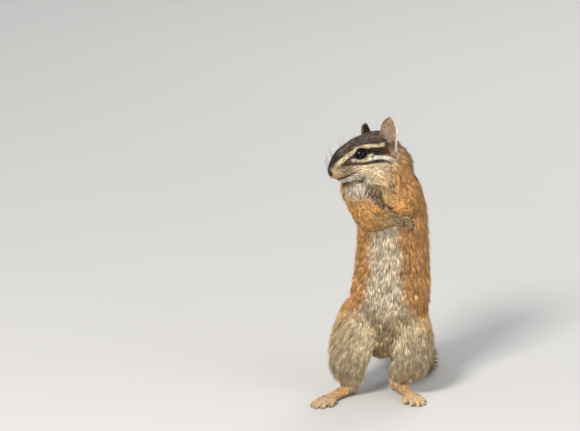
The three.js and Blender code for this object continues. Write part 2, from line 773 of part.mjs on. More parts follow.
// A closed strip of rings: each ring is a list of points, the ends are closed by fans.
function ringed(rings) {
  const sidesOfRing = rings[0].length;
  const vertices = rings.flat();
  const faces = [];
  for (let r = 0; r < rings.length - 1; r++) {
    for (let s = 0; s < sidesOfRing; s++) {
      const a = r * sidesOfRing + s;
      const b = r * sidesOfRing + ((s + 1) % sidesOfRing);
      faces.push(a, b, b + sidesOfRing, a, b + sidesOfRing, a + sidesOfRing);
    }
  }
  const end = (rings.length - 1) * sidesOfRing;
  for (let s = 1; s < sidesOfRing - 1; s++) {
    faces.push(0, s + 1, s);
    faces.push(end, end + s, end + s + 1);
  }
  const geometry = new THREE.BufferGeometry();
  geometry.setAttribute(
    "position",
    new THREE.Float32BufferAttribute(vertices.flatMap((p) => p.toArray()), 3),
  );
  geometry.setIndex(faces);
  const made = solidOf(geometry);
  return made;
}

function tailCore(from, to) {
  const rings = [];
  const steps = 7;
  const sidesOfCore = 10;
  for (let i = 0; i <= steps; i++) {
    const { at, wide, thick, half } = tailFrame(lerp(from, to, i / steps));
    const ring = [];
    for (let s = 0; s < sidesOfCore; s++) {
      const angle = (2 * Math.PI * s) / sidesOfCore;
      ring.push(
        at
          .clone()
          .addScaledVector(wide, half * Math.cos(angle))
          .addScaledVector(thick, half * TAIL.flatness * Math.sin(angle)),
      );
    }
    rings.push(ring);
  }
  return ringed(rings);
}

// One lock: rooted in the core, it leaves at the angle round the tail and bends back along it.
function tailLock(u, angle, scale, rising = 1) {
  const { at, back, wide, thick, half } = tailFrame(u);
  const out = wide
    .clone()
    .multiplyScalar(Math.cos(angle))
    .addScaledVector(thick, TAIL.flatness * Math.sin(angle))
    .normalize();
  const flat = out.clone().cross(back).normalize();
  const root = at.clone().addScaledVector(out, half * 0.35 * (Math.abs(Math.sin(angle)) > 0.5 ? 0.6 : 1));
  const length = TAIL.lockLength * scale;
  const rings = [];
  const steps = 2;
  for (let i = 0; i <= steps; i++) {
    const t = i / steps;
    const rise = rising * lerp(0.72, 0.5, Math.abs(Math.sin(angle)));
    const middle = root
      .clone()
      .addScaledVector(out, length * rise * (t - 0.45 * t * t))
      .addScaledVector(back, length * (0.55 * t + 0.4 * t * t));
    const half1 = (TAIL.lockWidth / 2) * (1 - t) ** 0.7 + 0.28;
    const half2 = (TAIL.lockThick / 2) * (1 - 0.55 * t);
    rings.push([
      middle.clone().addScaledVector(flat, half1),
      middle.clone().addScaledVector(out, half2),
      middle.clone().addScaledVector(flat, -half1),
      middle.clone().addScaledVector(out, -half2),
    ]);
  }
  return ringed(rings);
}

const seeded = (seed) => {
  let state = seed;
  return () => {
    state = (state * 1664525 + 1013904223) % 4294967296;
    return state / 4294967296;
  };
};
const chance = seeded(7);
const tailSpan = 1 / TAIL.lengths;
const gapShare = GAP / 2 / tailPath.getLength();
for (let part = 0; part < TAIL.lengths; part++) {
  const from = part * tailSpan + (part ? gapShare : 0);
  const to = (part + 1) * tailSpan - gapShare;
  const pieces = [tailCore(from, to)];
  for (let row = 0; row < TAIL.rowsPerLength; row++) {
    const u = lerp(from, to, (row + 0.35) / (TAIL.rowsPerLength + 1.6));
    if (part === 0 && row < 1) continue;
    for (let lock = 0; lock < TAIL.locksPerRow; lock++) {
      const angle = (2 * Math.PI * (lock + (row % 2) / 2)) / TAIL.locksPerRow + 0.2 * (chance() - 0.5);
      pieces.push(tailLock(u, angle, 0.85 + 0.3 * chance()));
    }
  }
  if (part === TAIL.lengths - 1) {
    for (let lock = 0; lock < TAIL.tipLocks; lock++) {
      pieces.push(tailLock(0.975, (2 * Math.PI * lock) / TAIL.tipLocks + 0.3, 0.9, TAIL.tipRise));
    }
  }
  let solid = Manifold.union(pieces).intersect(floorUp).subtract(clearOfTrunk);
  if (part < TAIL.lengths - 1) {
    const end = tailFrame((part + 1) * tailSpan);
    solid = solid.intersect(before(end.at, end.back));
  }
  if (part > 0) {
    const start = tailFrame(part * tailSpan);
    solid = solid.intersect(beyond(start.at, start.back));
  }
  addNode(`tail_${part + 1}`, largest(solid), COLOUR.tail);
}

// The origin is under the middle of the whole, on the floor.
const bounds = new THREE.Box3().setFromObject(chipmunk);
const middle = bounds.getCenter(V(0, 0, 0));
chipmunk.position.set(-middle.x, -middle.y, -bounds.min.z);

export default chipmunk;
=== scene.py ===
"""A small striped rodent, life size, standing upright with both paws before its chest.

One skin is drawn from the same named sizes as the solids, sunk by the depth of the coat, and
the coat lies on it as thin closed tufts that follow the lie of the hair. Forms are worked out
in millimetres in the animal's own axes: +Z up, the viewer looks along +Y, its left at +X.
"""

from __future__ import annotations

import logging
import math
from collections.abc import Callable
from dataclasses import dataclass
from enum import Enum

import bpy
import numpy as np
import openvdb
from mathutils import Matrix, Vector, kdtree

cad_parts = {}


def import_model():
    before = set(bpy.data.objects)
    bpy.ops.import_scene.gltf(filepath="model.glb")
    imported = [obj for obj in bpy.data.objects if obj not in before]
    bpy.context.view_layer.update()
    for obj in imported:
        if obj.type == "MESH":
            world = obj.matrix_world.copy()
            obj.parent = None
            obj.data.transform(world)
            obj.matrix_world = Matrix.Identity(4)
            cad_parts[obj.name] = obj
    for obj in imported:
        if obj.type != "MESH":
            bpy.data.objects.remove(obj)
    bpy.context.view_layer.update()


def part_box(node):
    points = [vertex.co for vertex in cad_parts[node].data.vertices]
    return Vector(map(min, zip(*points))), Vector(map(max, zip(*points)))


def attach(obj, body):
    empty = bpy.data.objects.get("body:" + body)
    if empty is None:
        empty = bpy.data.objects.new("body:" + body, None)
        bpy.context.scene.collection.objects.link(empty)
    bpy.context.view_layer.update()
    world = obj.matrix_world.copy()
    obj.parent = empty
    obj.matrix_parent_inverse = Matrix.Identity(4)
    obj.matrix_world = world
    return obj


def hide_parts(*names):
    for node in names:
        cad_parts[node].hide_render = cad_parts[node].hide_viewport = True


LOG = logging.getLogger("chipmunk")
Array = np.ndarray
MM = 0.001
# Millimetres: forms further off than FAR aren't measured, and the head lies within HEAD_REACH of its middle
FAR = 7.0
EVERYWHERE = 99.0
HEAD_REACH = 26.0
# Millimetres over which two parts of the coat pass into one another
SHARE_SOFT = {"density": 0.8, "size": 1.0, "colour": 0.6, "lie": 1.6}
COAT_SEED = 11
WHISKER_SEED = 5


def unit(v: Array) -> Array:
    """Scale vectors to length one."""
    return v / np.maximum(np.linalg.norm(v, axis=-1, keepdims=True), 1e-9)


def ease(low: float, high: float, x: Array) -> Array:
    """Rise smoothly from 0 at low to 1 at high."""
    t = np.clip((x - low) / (high - low), 0.0, 1.0)
    return t * t * (3.0 - 2.0 * t)


def blend(a: Array, b: Array, k: float) -> Array:
    """Join two distances, with their meeting rounded over a width k."""
    h = np.maximum(k - np.abs(a - b), 0.0) / k
    return np.minimum(a, b) - h * h * k / 4.0


def carve(a: Array, b: Array, k: float) -> Array:
    """Take the form b out of the form a, with the edge rounded over a width k."""
    return -blend(-a, b, k)


def spline(points: Array, t: Array) -> Array:
    """Follow a smooth curve through points.

    Args:
        points: The points, one a row.
        t: Places along the curve, from 0 to 1.

    Returns:
        One row for each place.
    """
    n = len(points)
    ext = np.vstack([2 * points[0] - points[1], points, 2 * points[-1] - points[-2]])
    x = np.clip(t, 0.0, 1.0) * (n - 1)
    i = np.minimum(x.astype(int), n - 2)
    w = (x - i)[:, None]
    p0, p1, p2, p3 = ext[i], ext[i + 1], ext[i + 2], ext[i + 3]
    t0, t1 = (p2 - p0) * 0.5, (p3 - p1) * 0.5
    return p1 + t0 * w + (3 * (p2 - p1) - 2 * t0 - t1) * w**2 + (2 * (p1 - p2) + t0 + t1) * w**3


def srgb(code: str) -> Array:
    """Turn a colour written as six hex digits into linear light."""
    c = np.array([int(code[i : i + 2], 16) for i in (0, 2, 4)]) / 255.0
    return np.where(c <= 0.04045, c / 12.92, ((c + 0.055) / 1.055) ** 2.4)


def mix(a: Array, b: Array, w: Array) -> Array:
    """Mix two colours, or rows of colours, by a weight for each row."""
    w = np.asarray(w, float)[:, None]
    return a * (1.0 - w) + b * w


def paint(base: Array, *layers: tuple[Array, Array]) -> Array:
    """Lay colours over a base one after the other, each with a weight for each row."""
    for tint, weight in layers:
        base = mix(base, tint, weight)
    return base


def ripple(p: Array, seed: int) -> Array:
    """Give a smooth random value from -1 to 1 at each place, over about 5 mm."""
    rng = np.random.default_rng(seed)
    total = np.zeros(len(p))
    for _ in range(6):
        wave = unit(rng.normal(size=3)) * rng.uniform(0.5, 1.6)
        total += np.sin(p @ wave + rng.uniform(0, 2 * math.pi))
    return total / 3.5


def ellipsoid(p: Array, centre: tuple, radii: tuple) -> Array:
    """Estimate the distance to an ellipsoid."""
    q = p - np.array(centre)
    r = np.array(radii)
    k0 = np.linalg.norm(q / r, axis=1)
    k1 = np.maximum(np.linalg.norm(q / r**2, axis=1), 1e-9)
    return k0 * (k0 - 1.0) / k1


def ball(p: Array, centre: tuple, radius: float) -> Array:
    """Give the distance to a ball."""
    return np.linalg.norm(p - np.array(centre), axis=1) - radius


class Sweep:
    """Balls set close along a smooth curve."""

    def __init__(self, points: list, step: float, coat: list | float = 0.0) -> None:
        """Lay the balls.

        Args:
            points: Rows of x, y, z and radius to the tips of the coat.
            step: The distance between two balls.
            coat: The depth of the coat, for all points or for each.
        """
        rows = np.array(points, float)
        rows[:, 3] -= coat
        line = spline(rows[:, :3], np.linspace(0, 1, 201))
        length = np.linalg.norm(np.diff(line, axis=0), axis=1).sum()
        self.along = np.linspace(0, 1, max(2, math.ceil(length / step)) + 1)
        self.at = spline(rows[:, :3], self.along)
        self.radius = spline(rows[:, 3:], self.along)[:, 0]
        self.way = unit(np.gradient(self.at, axis=0))
        reach = self.radius.max() + FAR
        self.low, self.high = self.at.min(0) - reach, self.at.max(0) + reach

    def distance(self, p: Array) -> Array:
        """Give the distance to the nearest ball, or FAR where that is further."""
        return self.nearest(p)[0]

    def nearest(self, p: Array) -> tuple[Array, Array]:
        """Find the nearest ball.

        Args:
            p: The points.

        Returns:
            The distance to it, and its number.
        """
        best = np.full(len(p), FAR)
        which = np.zeros(len(p), int)
        near = np.flatnonzero(np.all((p > self.low) & (p < self.high), axis=1))
        q = p[near]
        least = np.full(len(q), FAR)
        index = np.zeros(len(q), int)
        for i, (at, radius) in enumerate(zip(self.at, self.radius)):
            d = np.sqrt(((q - at) ** 2).sum(1)) - radius
            closer = d < least
            least[closer] = d[closer]
            index[closer] = i
        best[near], which[near] = least, index
        return best, which


class Side(Enum):
    """The two sides of the animal."""

    LEFT = "left"
    RIGHT = "right"

    @property
    def sign(self) -> int:
        """Give 1 on the animal's left and -1 on its right."""
        return 1 if self is Side.LEFT else -1


@dataclass(frozen=True)
class Head:
    """The head's place, tilt and features, in its own axes: forward, left and up."""

    centre: tuple = (-9.3, -5, 114.6)
    turn: float = 59.0
    nod: float = 14.5
    roll: float = 15.0
    nose_reach: float = 20.9
    eye: tuple = (5.6, 5.6, 0.8)
    eye_radius: float = 3.2
    ear_back: tuple = (7.8, 6.2)
    ear_out: float = 8.0
    ear_up: tuple = (-1.2, -2.7)
    ear_height: float = 13.6
    ear_width: float = 9.6
    ear_cup: float = 2.3
    ear_rounding: float = 0.3
    nostril: tuple = (-0.45, 1.3, -2.75)
    nostril_radii: tuple = (1.0, 0.42, 0.55)
    lid_opening: tuple = (3.05, 2.3)
    hollow: tuple = ((0.3, 0.6, 1.5), (2.3, 3.6, 2.1))

    @property
    def axes(self) -> Array:
        """Give the head's forward, left and up directions as rows."""
        turn, nod, roll = (math.radians(a) for a in (self.turn - 90, self.nod, self.roll))
        level = np.array([-math.cos(turn), math.sin(turn), 0.0])
        forward = level * math.cos(nod) - np.array([0, 0, math.sin(nod)])
        flat_left = np.array([-level[1], level[0], 0.0])
        flat_up = np.cross(forward, flat_left)
        left = flat_left * math.cos(roll) + flat_up * math.sin(roll)
        return np.array([forward, left, np.cross(forward, left)])

    def inward(self, p: Array) -> Array:
        """Turn points into the head's axes."""
        return (p - np.array(self.centre)) @ self.axes.T

    def outward(self, q: Array) -> Array:
        """Turn points in the head's axes into the animal's."""
        return np.asarray(q, float) @ self.axes + np.array(self.centre)

    def eye_at(self, side: Side) -> Array:
        """Give the middle of an eye."""
        return self.outward(self.eye_in(side))

    def eye_in(self, side: Side) -> Array:
        """Give the middle of an eye in the head's axes."""
        x, y, z = self.eye
        return np.array([x, y * side.sign, z])

    def from_eye(self, q: Array, side: Side) -> Array:
        """See points in the head's axes from an eye: across it, over it and outward."""
        return (q - self.eye_in(side)) @ self.gaze(side).T

    def in_opening(self, g: Array) -> Array:
        """Give 1 on the edge of the lids' opening and less within, for points seen from the eye."""
        across, over = self.lid_opening
        return np.hypot(g[:, 0] / across, g[:, 1] / over)

    def gaze(self, side: Side) -> Array:
        """Give the directions across, over and out of an eye as rows, in the head's axes."""
        out = unit(np.array([0.3, 0.9 * side.sign, 0.22]))
        along = np.array([1.0, 0.0, 0.1])
        along = unit(along - out * (along @ out))
        return np.array([along, np.cross(out, along) * side.sign, out])

    def ear_axes(self, side: Side) -> tuple[Array, Array]:
        """Give the root of an ear, and its across, up and open directions as rows.

        Args:
            side: The side of the animal.

        Returns:
            The root, and the directions, in the head's axes.
        """
        up = unit(np.array([-0.3, 0.3 * side.sign, 1.0]))
        which = 0 if side is Side.LEFT else 1
        open_way = np.array(((0.62, 0.78, 0.05), (0.42, -0.9, 0.05))[which])
        open_way = unit(open_way - up * (open_way @ up))
        root = np.array([-self.ear_back[which], self.ear_out * side.sign, self.ear_up[which]])
        return root, np.array([np.cross(up, open_way), up, open_way])

    def from_ear(self, q: Array, side: Side) -> Array:
        """See points in the head's axes from the root of an ear: across, up and open."""
        root, axes = self.ear_axes(side)
        return (q - root) @ axes.T

    def hollow_distance(self, q: Array, side: Side) -> Array:
        """Give the distance to the hollow at the foot of an ear, in the head's axes."""
        return ellipsoid(self.from_ear(q, side), *self.hollow)

    def nostril_distance(self, q: Array, sign: int) -> Array:
        """Give the distance to the nostril on one side, in the head's axes."""
        back, out, up = self.nostril
        return ellipsoid(q, (self.nose_reach + back, out * sign, up), self.nostril_radii)

    @staticmethod
    def mouth_line(x: Array) -> Array:
        """Give the height of the line of the mouth, in the head's axes."""
        return -5.55 - 0.85 * np.sin(np.clip((x - 10.4) / 10.5, 0, 1) * math.pi)


@dataclass(frozen=True)
class Leg:
    """A hind leg: points with radii from the hip to the ankle, and the foot on the floor."""

    line: tuple
    heel: tuple
    toes: tuple
    toe_length: float = 8.4
    toe_radius: float = 1.05
    ball_half: float = 3.1
    claw: float = 2.2
    coat: tuple = (2.0, 2.0, 1.9, 1.3, 0.3)

    @property
    def way(self) -> Array:
        """Give the direction of the foot along the floor."""
        return unit(np.array([self.toes[0] - self.heel[0], self.toes[1] - self.heel[1], 0.0]))

    @property
    def reach(self) -> float:
        """Give the length of the foot from the heel to the tips of the claws."""
        return math.hypot(self.toes[0] - self.heel[0], self.toes[1] - self.heel[1])

    def ball_at(self) -> Array:
        """Give the middle of the ball of the foot."""
        at = np.array(self.heel) + self.way * (self.reach - self.toe_length - self.claw - 1.6)
        return np.array([at[0], at[1], 1.7])

    def toe_lines(self) -> list:
        """Give root, bend, end and direction of each of the five toes."""
        way, r = self.way, self.toe_radius
        side = np.array([-way[1], way[0], 0.0])
        toes = []
        for i in range(-2, 3):
            length = self.toe_length * (1 - 0.1 * i * i)
            bone = self.reach - self.toe_length - self.claw - 0.45 * i * i
            root = np.array(self.heel) + way * bone + side * i * self.ball_half * 0.475
            root[2] = r + 0.7
            spread = unit(way + side * 0.17 * i)
            bend, end = root + spread * length * 0.5, root + spread * length
            bend[2], end[2] = r + 0.55, r - 0.25
            toes.append((root, bend, end, spread))
        return toes

    def foot_distance(self, p: Array) -> Array:
        """Give the distance to the foot."""
        ankle, heel, ball_at = np.array(self.line[-1][:3]), np.array(self.heel), self.ball_at()
        side = np.array([-self.way[1], self.way[0], 0.0])
        middle = (heel + ball_at) / 2
        middle[2] = 2.7
        upper = ankle + (middle - ankle) * 0.55
        bone = [
            [*ankle, self.line[-1][3]],
            [upper[0], upper[1], 3.2, 2.9],
            [*middle, 2.6],
            [ball_at[0], ball_at[1], 2.0, 2.1],
        ]
        d = blend(Sweep(bone, 1.0, 0.2).distance(p), ball(p, heel, 2.4), 1.6)
        for i in (-1, 0, 1):
            d = blend(d, ball(p, ball_at + side * i * 1.7, 1.8), 1.4)
        r = self.toe_radius
        for root, bend, end, _ in self.toe_lines():
            toe = Sweep([[*root, r * 1.25], [*bend, r * 1.05], [*end, r * 0.9]], 0.6, 0.05)
            d = blend(d, toe.distance(p), 0.4)
        return d


@dataclass(frozen=True)
class Arm:
    """A fore leg: points with radii from the shoulder to the palm, and the lie of the paw."""

    line: tuple
    palm: tuple
    knuckle_way: tuple
    across: tuple
    curl: tuple
    length: float = 4.2
    radius: float = 0.7
    spread: float = 1.6
    claw: float = 1.9
    coat: tuple = (1.4, 1.3, 1.2, 0.8, 0.2)

    def fingers(self) -> list:
        """Give root, knuckle, end and direction of each of the four fingers."""
        palm = np.array(self.palm[:3])
        lie = (self.knuckle_way, self.across, self.curl)
        way, across, curl = (unit(np.array(v, float)) for v in lie)
        fingers = []
        for i in range(4):
            place = i - 1.5
            length = self.length * (1 - 0.07 * place * place)
            root = palm + way * self.palm[3] * 0.62 + across * place * self.spread
            knuckle = root + way * length * 0.55 + across * place * 0.16
            end = knuckle + curl * length * 0.55
            fingers.append((root, knuckle, end, unit(end - knuckle)))
        return fingers

    def paw_distance(self, p: Array) -> Array:
        """Give the distance to the paw."""
        d = Sweep([self.line[3], self.line[4], self.palm], 0.8, [0.8, 0.2, 0.1]).distance(p)
        r = self.radius
        for root, knuckle, end, _ in self.fingers():
            finger = Sweep([[*root, r * 1.15], [*knuckle, r], [*end, r * 0.85]], 0.5, 0.03)
            d = blend(d, finger.distance(p), 0.4)
        return d


LEGS = {
    Side.LEFT: Leg(
        (
            (7.6, 3, 35, 12.2),
            (11.2, -4, 26.5, 10.8),
            (12.4, -9.5, 19, 8.8),
            (9.6, -7, 11.4, 6.2),
            (6.6, -4.4, 5.4, 3.2),
        ),
        (5.8, -2.2, 2.5),
        (16.2, -31),
    ),
    Side.RIGHT: Leg(
        (
            (-7.4, 3, 35, 12.2),
            (-12.8, -4, 27, 11),
            (-16, -10.5, 19.4, 9),
            (-16.2, -10.4, 11.8, 6.4),
            (-15.8, -9.4, 5.6, 3.3),
        ),
        (-15, -7.2, 2.6),
        (-33, -34),
    ),
}
ARMS = {
    Side.LEFT: Arm(
        (
            (8, -3, 96, 7.2),
            (9, -8.2, 91.8, 6.0),
            (7.8, -12, 91, 4.7),
            (3, -16, 95, 4),
            (-2, -18.8, 99.2, 2.7),
        ),
        (-4.9, -19.8, 100.2, 2.7),
        (-0.25, -0.85, 0.4),
        (0.86, -0.1, -0.35),
        (-0.3, -0.15, -0.92),
    ),
    Side.RIGHT: Arm(
        (
            (-12.6, -4, 96.5, 7.6),
            (-10.4, -10, 90.8, 6.9),
            (-7.4, -14.8, 87, 6.6),
            (-1.6, -18.6, 86, 4.4),
            (3.6, -21, 86.6, 2.7),
        ),
        (6.4, -22, 86.4, 2.6),
        (0.95, -0.18, -0.1),
        (-0.08, 0.5, -0.86),
        (0.75, 0.1, -0.6),
    ),
}
# Rows of x, y, z and radius to the tips of the coat
TRUNK = (
    (0.5, 4, 30, 15),
    (2.6, 3.4, 44, 18),
    (3.6, 2.8, 60, 16.9),
    (3.4, 1.5, 78, 16.1),
    (1.8, 0.5, 90, 15.7),
    (-0.5, -0.5, 99, 14.1),
    (-1.4, -1.4, 107, 12.6),
    (-3, -2.6, 111.5, 9.8),
)
# The depth of the coat at each row of the trunk, and the share of the tail's radius that is skin
TRUNK_COAT = (1.7, 1.7, 1.6, 1.6, 1.5, 1.4, 1.2, 1.0)
TAIL_SKIN = 0.8
TAIL = (
    (3, 12, 23, 3.2),
    (7.6, 17.6, 13.8, 3.8),
    (12.4, 22.4, 8, 4.2),
    (15, 31, 5.8, 4.4),
    (14, 43, 5.4, 4.4),
    (10.4, 56, 5.2, 4.2),
    (6, 68, 4.8, 3.4),
    (3, 78, 4.4, 1.8),
)


class Region(Enum):
    """The parts of the coat."""

    TRUNK = 0
    HEAD = 1
    LEG_LEFT = 2
    LEG_RIGHT = 3
    FOOT_LEFT = 4
    FOOT_RIGHT = 5
    ARM_LEFT = 6
    ARM_RIGHT = 7
    PAW_LEFT = 8
    PAW_RIGHT = 9
    TAIL = 10
    EAR_LEFT = 11
    EAR_RIGHT = 12


class Pair(Enum):
    """The parts of the coat that the animal has on both sides."""

    LEG = "LEG"
    FOOT = "FOOT"
    ARM = "ARM"
    PAW = "PAW"
    EAR = "EAR"

    def on(self, side: Side) -> Region:
        """Give the part on one side."""
        return Region[f"{self.value}_{side.name}"]

    @property
    def both(self) -> tuple[Region, Region]:
        """Give the part on the left and on the right."""
        return self.on(Side.LEFT), self.on(Side.RIGHT)


class Body:
    """The whole skin as distances, negative inside."""

    def __init__(self) -> None:
        """Lay the sweeps of the trunk, the limbs and the tail."""
        self.head = Head()
        self.trunk = Sweep(list(TRUNK), 2.0, list(TRUNK_COAT))
        self.legs = {side: Sweep(list(leg.line), 1.5, list(leg.coat)) for side, leg in LEGS.items()}
        self.arms = {side: Sweep(list(arm.line), 1.2, list(arm.coat)) for side, arm in ARMS.items()}
        self.tail = Sweep([(x, y, z, r * TAIL_SKIN) for x, y, z, r in TAIL], 1.5)

    def head_distance(self, p: Array) -> Array:
        """Give the distance to the head without its ears."""
        q = self.head.inward(p)
        s = np.column_stack([q[:, 0], np.abs(q[:, 1]), q[:, 2]])
        nose_x = self.head.nose_reach - 2.5
        muzzle = np.minimum(ball(q, (14.6, 0, -2.6), 4.3), ball(q, (16.8, 0, -2.7), 3.4))
        muzzle = blend(muzzle, ball(q, (nose_x, 0, -2.5), 2.5), 2)
        chin = np.minimum(ball(q, (8, 0, -6), 4.6), ball(q, (11.6, 0, -6.6), 3.4))
        chin = np.minimum(chin, ball(q, (14.6, 0, -7.2), 2.1))
        skull = ellipsoid(q, (-3, 0, -0.4), (12.4, 9.6, 8.4))
        d = blend(skull, ellipsoid(q, (7, 0, -1), (11.6, 7.5, 8.3)), 5)
        d = blend(d, ellipsoid(s, (-0.5, 4.4, -5.6), (9.4, 5.8, 6.6)), 4)
        d = blend(d, muzzle, 3)
        d = blend(d, ball(s, (16.2, 2, -4.4), 2.3), 1.5)
        d = blend(d, chin, 2.5)
        depth = 0.75 - 0.35 * ease(7, 13, q[:, 0]) - 0.38 * ease(14, 18.5, q[:, 0])
        depth += 0.5 * ease(2, 7, -q[:, 2]) * ease(9, 3, q[:, 0])
        return d + depth

    def face_details(self, d: Array, p: Array) -> Array:
        """Cut and raise the nostrils, the lips and the lids.

        Args:
            d: The distances to the whole skin.
            p: The points.

        Returns:
            The distances with these details.
        """
        head = self.head
        q = head.inward(p)
        near = np.flatnonzero((d < 3) & (q[:, 0] > -15) & (np.abs(q[:, 1]) < 16) & (q[:, 2] > -14))
        if not len(near):
            return d
        q, e = q[near], d[near].copy()
        slit = np.maximum(np.abs(q[:, 2] - head.mouth_line(q[:, 0])) - 0.2, 10.6 - q[:, 0])
        e = carve(e, np.maximum(slit, -e - 1.6), 0.35)
        cleft = np.maximum(16.5 - q[:, 0], np.abs(q[:, 2] + 4.6) - 1.6)
        cleft = np.maximum(np.abs(q[:, 1]) - 0.16, cleft)
        e = carve(e, np.maximum(cleft, -e - 0.45), 0.3)
        r = head.eye_radius
        for side in Side:
            e = carve(e, head.nostril_distance(q, side.sign), 0.3)
            g = head.from_eye(q, side)
            out = np.linalg.norm(g, axis=1)
            inner = head.in_opening(g)
            outer = np.hypot(g[:, 0] / 3.8, g[:, 1] / 3.0)
            shell = np.abs(out - r - 0.2) - 0.3
            lid = np.maximum(np.maximum(shell, (1 - inner) * 2.3), np.maximum((outer - 1) * 3, -g[:, 2]))
            e = blend(e, lid, 0.7)
            e = carve(e, np.maximum((inner - 1) * 2.3, r * 0.35 - g[:, 2]), 0.25)
            e = np.maximum(e, -(out - r - 0.04))
            e = carve(e, head.hollow_distance(q, side), 0.5)
        d = d.copy()
        d[near] = e
        return d

    def ear_sheet(self, u: Array, v: Array) -> tuple[Array, Array]:
        """Give the depth of an ear's cup and its half width, across and up from its root."""
        head, cup = self.head, self.head.ear_cup
        t = np.clip(v / head.ear_height, 0, 1)
        half = head.ear_width / 2 * np.sqrt(np.maximum(1 - t**2.6, 0)) * (0.8 + 0.45 * t - 0.25 * t * t)
        s = np.clip(u / np.maximum(half, 0.6), -1, 1)
        return cup * s * s * (1 - 0.55 * t) + 0.6 * t * t - cup * 0.6 - 0.4, half

    def ear_distance(self, p: Array, side: Side) -> Array:
        """Give the distance to an ear: a thin cupped leaf."""
        head = self.head
        u, v, w = head.from_ear(head.inward(p), side).T
        sheet, half = self.ear_sheet(u, v)
        edge = np.maximum(np.abs(u) - half, np.maximum(v - head.ear_height, -3.2 - v) * 0.8)
        leaf = np.abs(w - sheet) * 0.85 - 0.34 - 0.35 * ease(4, -2, v)
        return np.maximum(edge, leaf) + head.ear_rounding / 4

    def parts(self, p: Array) -> dict[Region, Array]:
        """Give the distance to each part on its own."""
        found = {Region.TRUNK: self.trunk.distance(p), Region.HEAD: self.head_distance(p)}
        for side in Side:
            leg, arm = LEGS[side], ARMS[side]
            sole, palm = np.array([*leg.heel[:2], 4.0]), np.array(arm.palm[:3])
            ear_root = self.head.outward(self.head.ear_axes(side)[0])
            found[Pair.LEG.on(side)] = self.legs[side].distance(p)
            found[Pair.FOOT.on(side)] = self.near(p, leg.foot_distance, sole, 42.0, 12.0)
            found[Pair.ARM.on(side)] = self.arms[side].distance(p)
            found[Pair.PAW.on(side)] = self.near(p, arm.paw_distance, palm, 14.0, EVERYWHERE)
            found[Pair.EAR.on(side)] = self.near(
                p, lambda q, s=side: self.ear_distance(q, s), ear_root, 22.0, EVERYWHERE
            )
        found[Region.TAIL] = self.tail.distance(p)
        return found

    @staticmethod
    def near(
        p: Array, measure: Callable[[Array], Array], middle: Array, reach: float, height: float
    ) -> Array:
        """Measure only the points round a place, and give FAR for the others."""
        d = np.full(len(p), FAR)
        q = p - middle
        chosen = np.flatnonzero((np.abs(q).max(axis=1) < reach) & (np.abs(q[:, 2]) < height))
        if len(chosen):
            d[chosen] = np.minimum(measure(p[chosen]), FAR)
        return d

    def joined(self, parts: dict[Region, Array]) -> Array:
        """Join the parts into one skin without a seam."""
        d = blend(parts[Region.TRUNK], parts[Region.HEAD], 4.0)
        for region in Pair.LEG.both:
            d = blend(d, parts[region], 3.6)
        for region in Pair.FOOT.both:
            d = blend(d, parts[region], 1.6)
        d = blend(d, parts[Region.TAIL], 3.0)
        for side in Side:
            d = blend(d, blend(parts[Pair.ARM.on(side)], parts[Pair.PAW.on(side)], 0.8), 1.3)
        for region in Pair.EAR.both:
            d = blend(d, parts[region], 1.4)
        return d

    def distance(self, p: Array) -> Array:
        """Give the distance to the finished skin."""
        d = self.face_details(self.joined(self.parts(p)), p)
        return np.maximum(d, 0.05 - p[:, 2])


@dataclass(frozen=True)
class Grid:
    """Grid lines that are closer where the form is finer: stretches of (start, cell), and the end."""

    x: tuple = ((-38, 0.6), (-29, 0.38), (2, 0.54), (31, 0))
    y: tuple = ((-41, 0.52), (-26, 0.4), (8, 0.65), (27, 1.0), (84, 0))
    z: tuple = ((-1, 0.44), (9, 0.9), (80, 0.41), (105, 0.355), (137, 0))

    @staticmethod
    def lines(stretches: tuple) -> Array:
        """Give the places of the grid lines along one axis."""
        found = []
        for (start, cell), (end, _) in zip(stretches, stretches[1:]):
            count = max(1, round((end - start) / cell))
            found.append(np.linspace(start, end, count, endpoint=False))
        return np.concatenate(found)


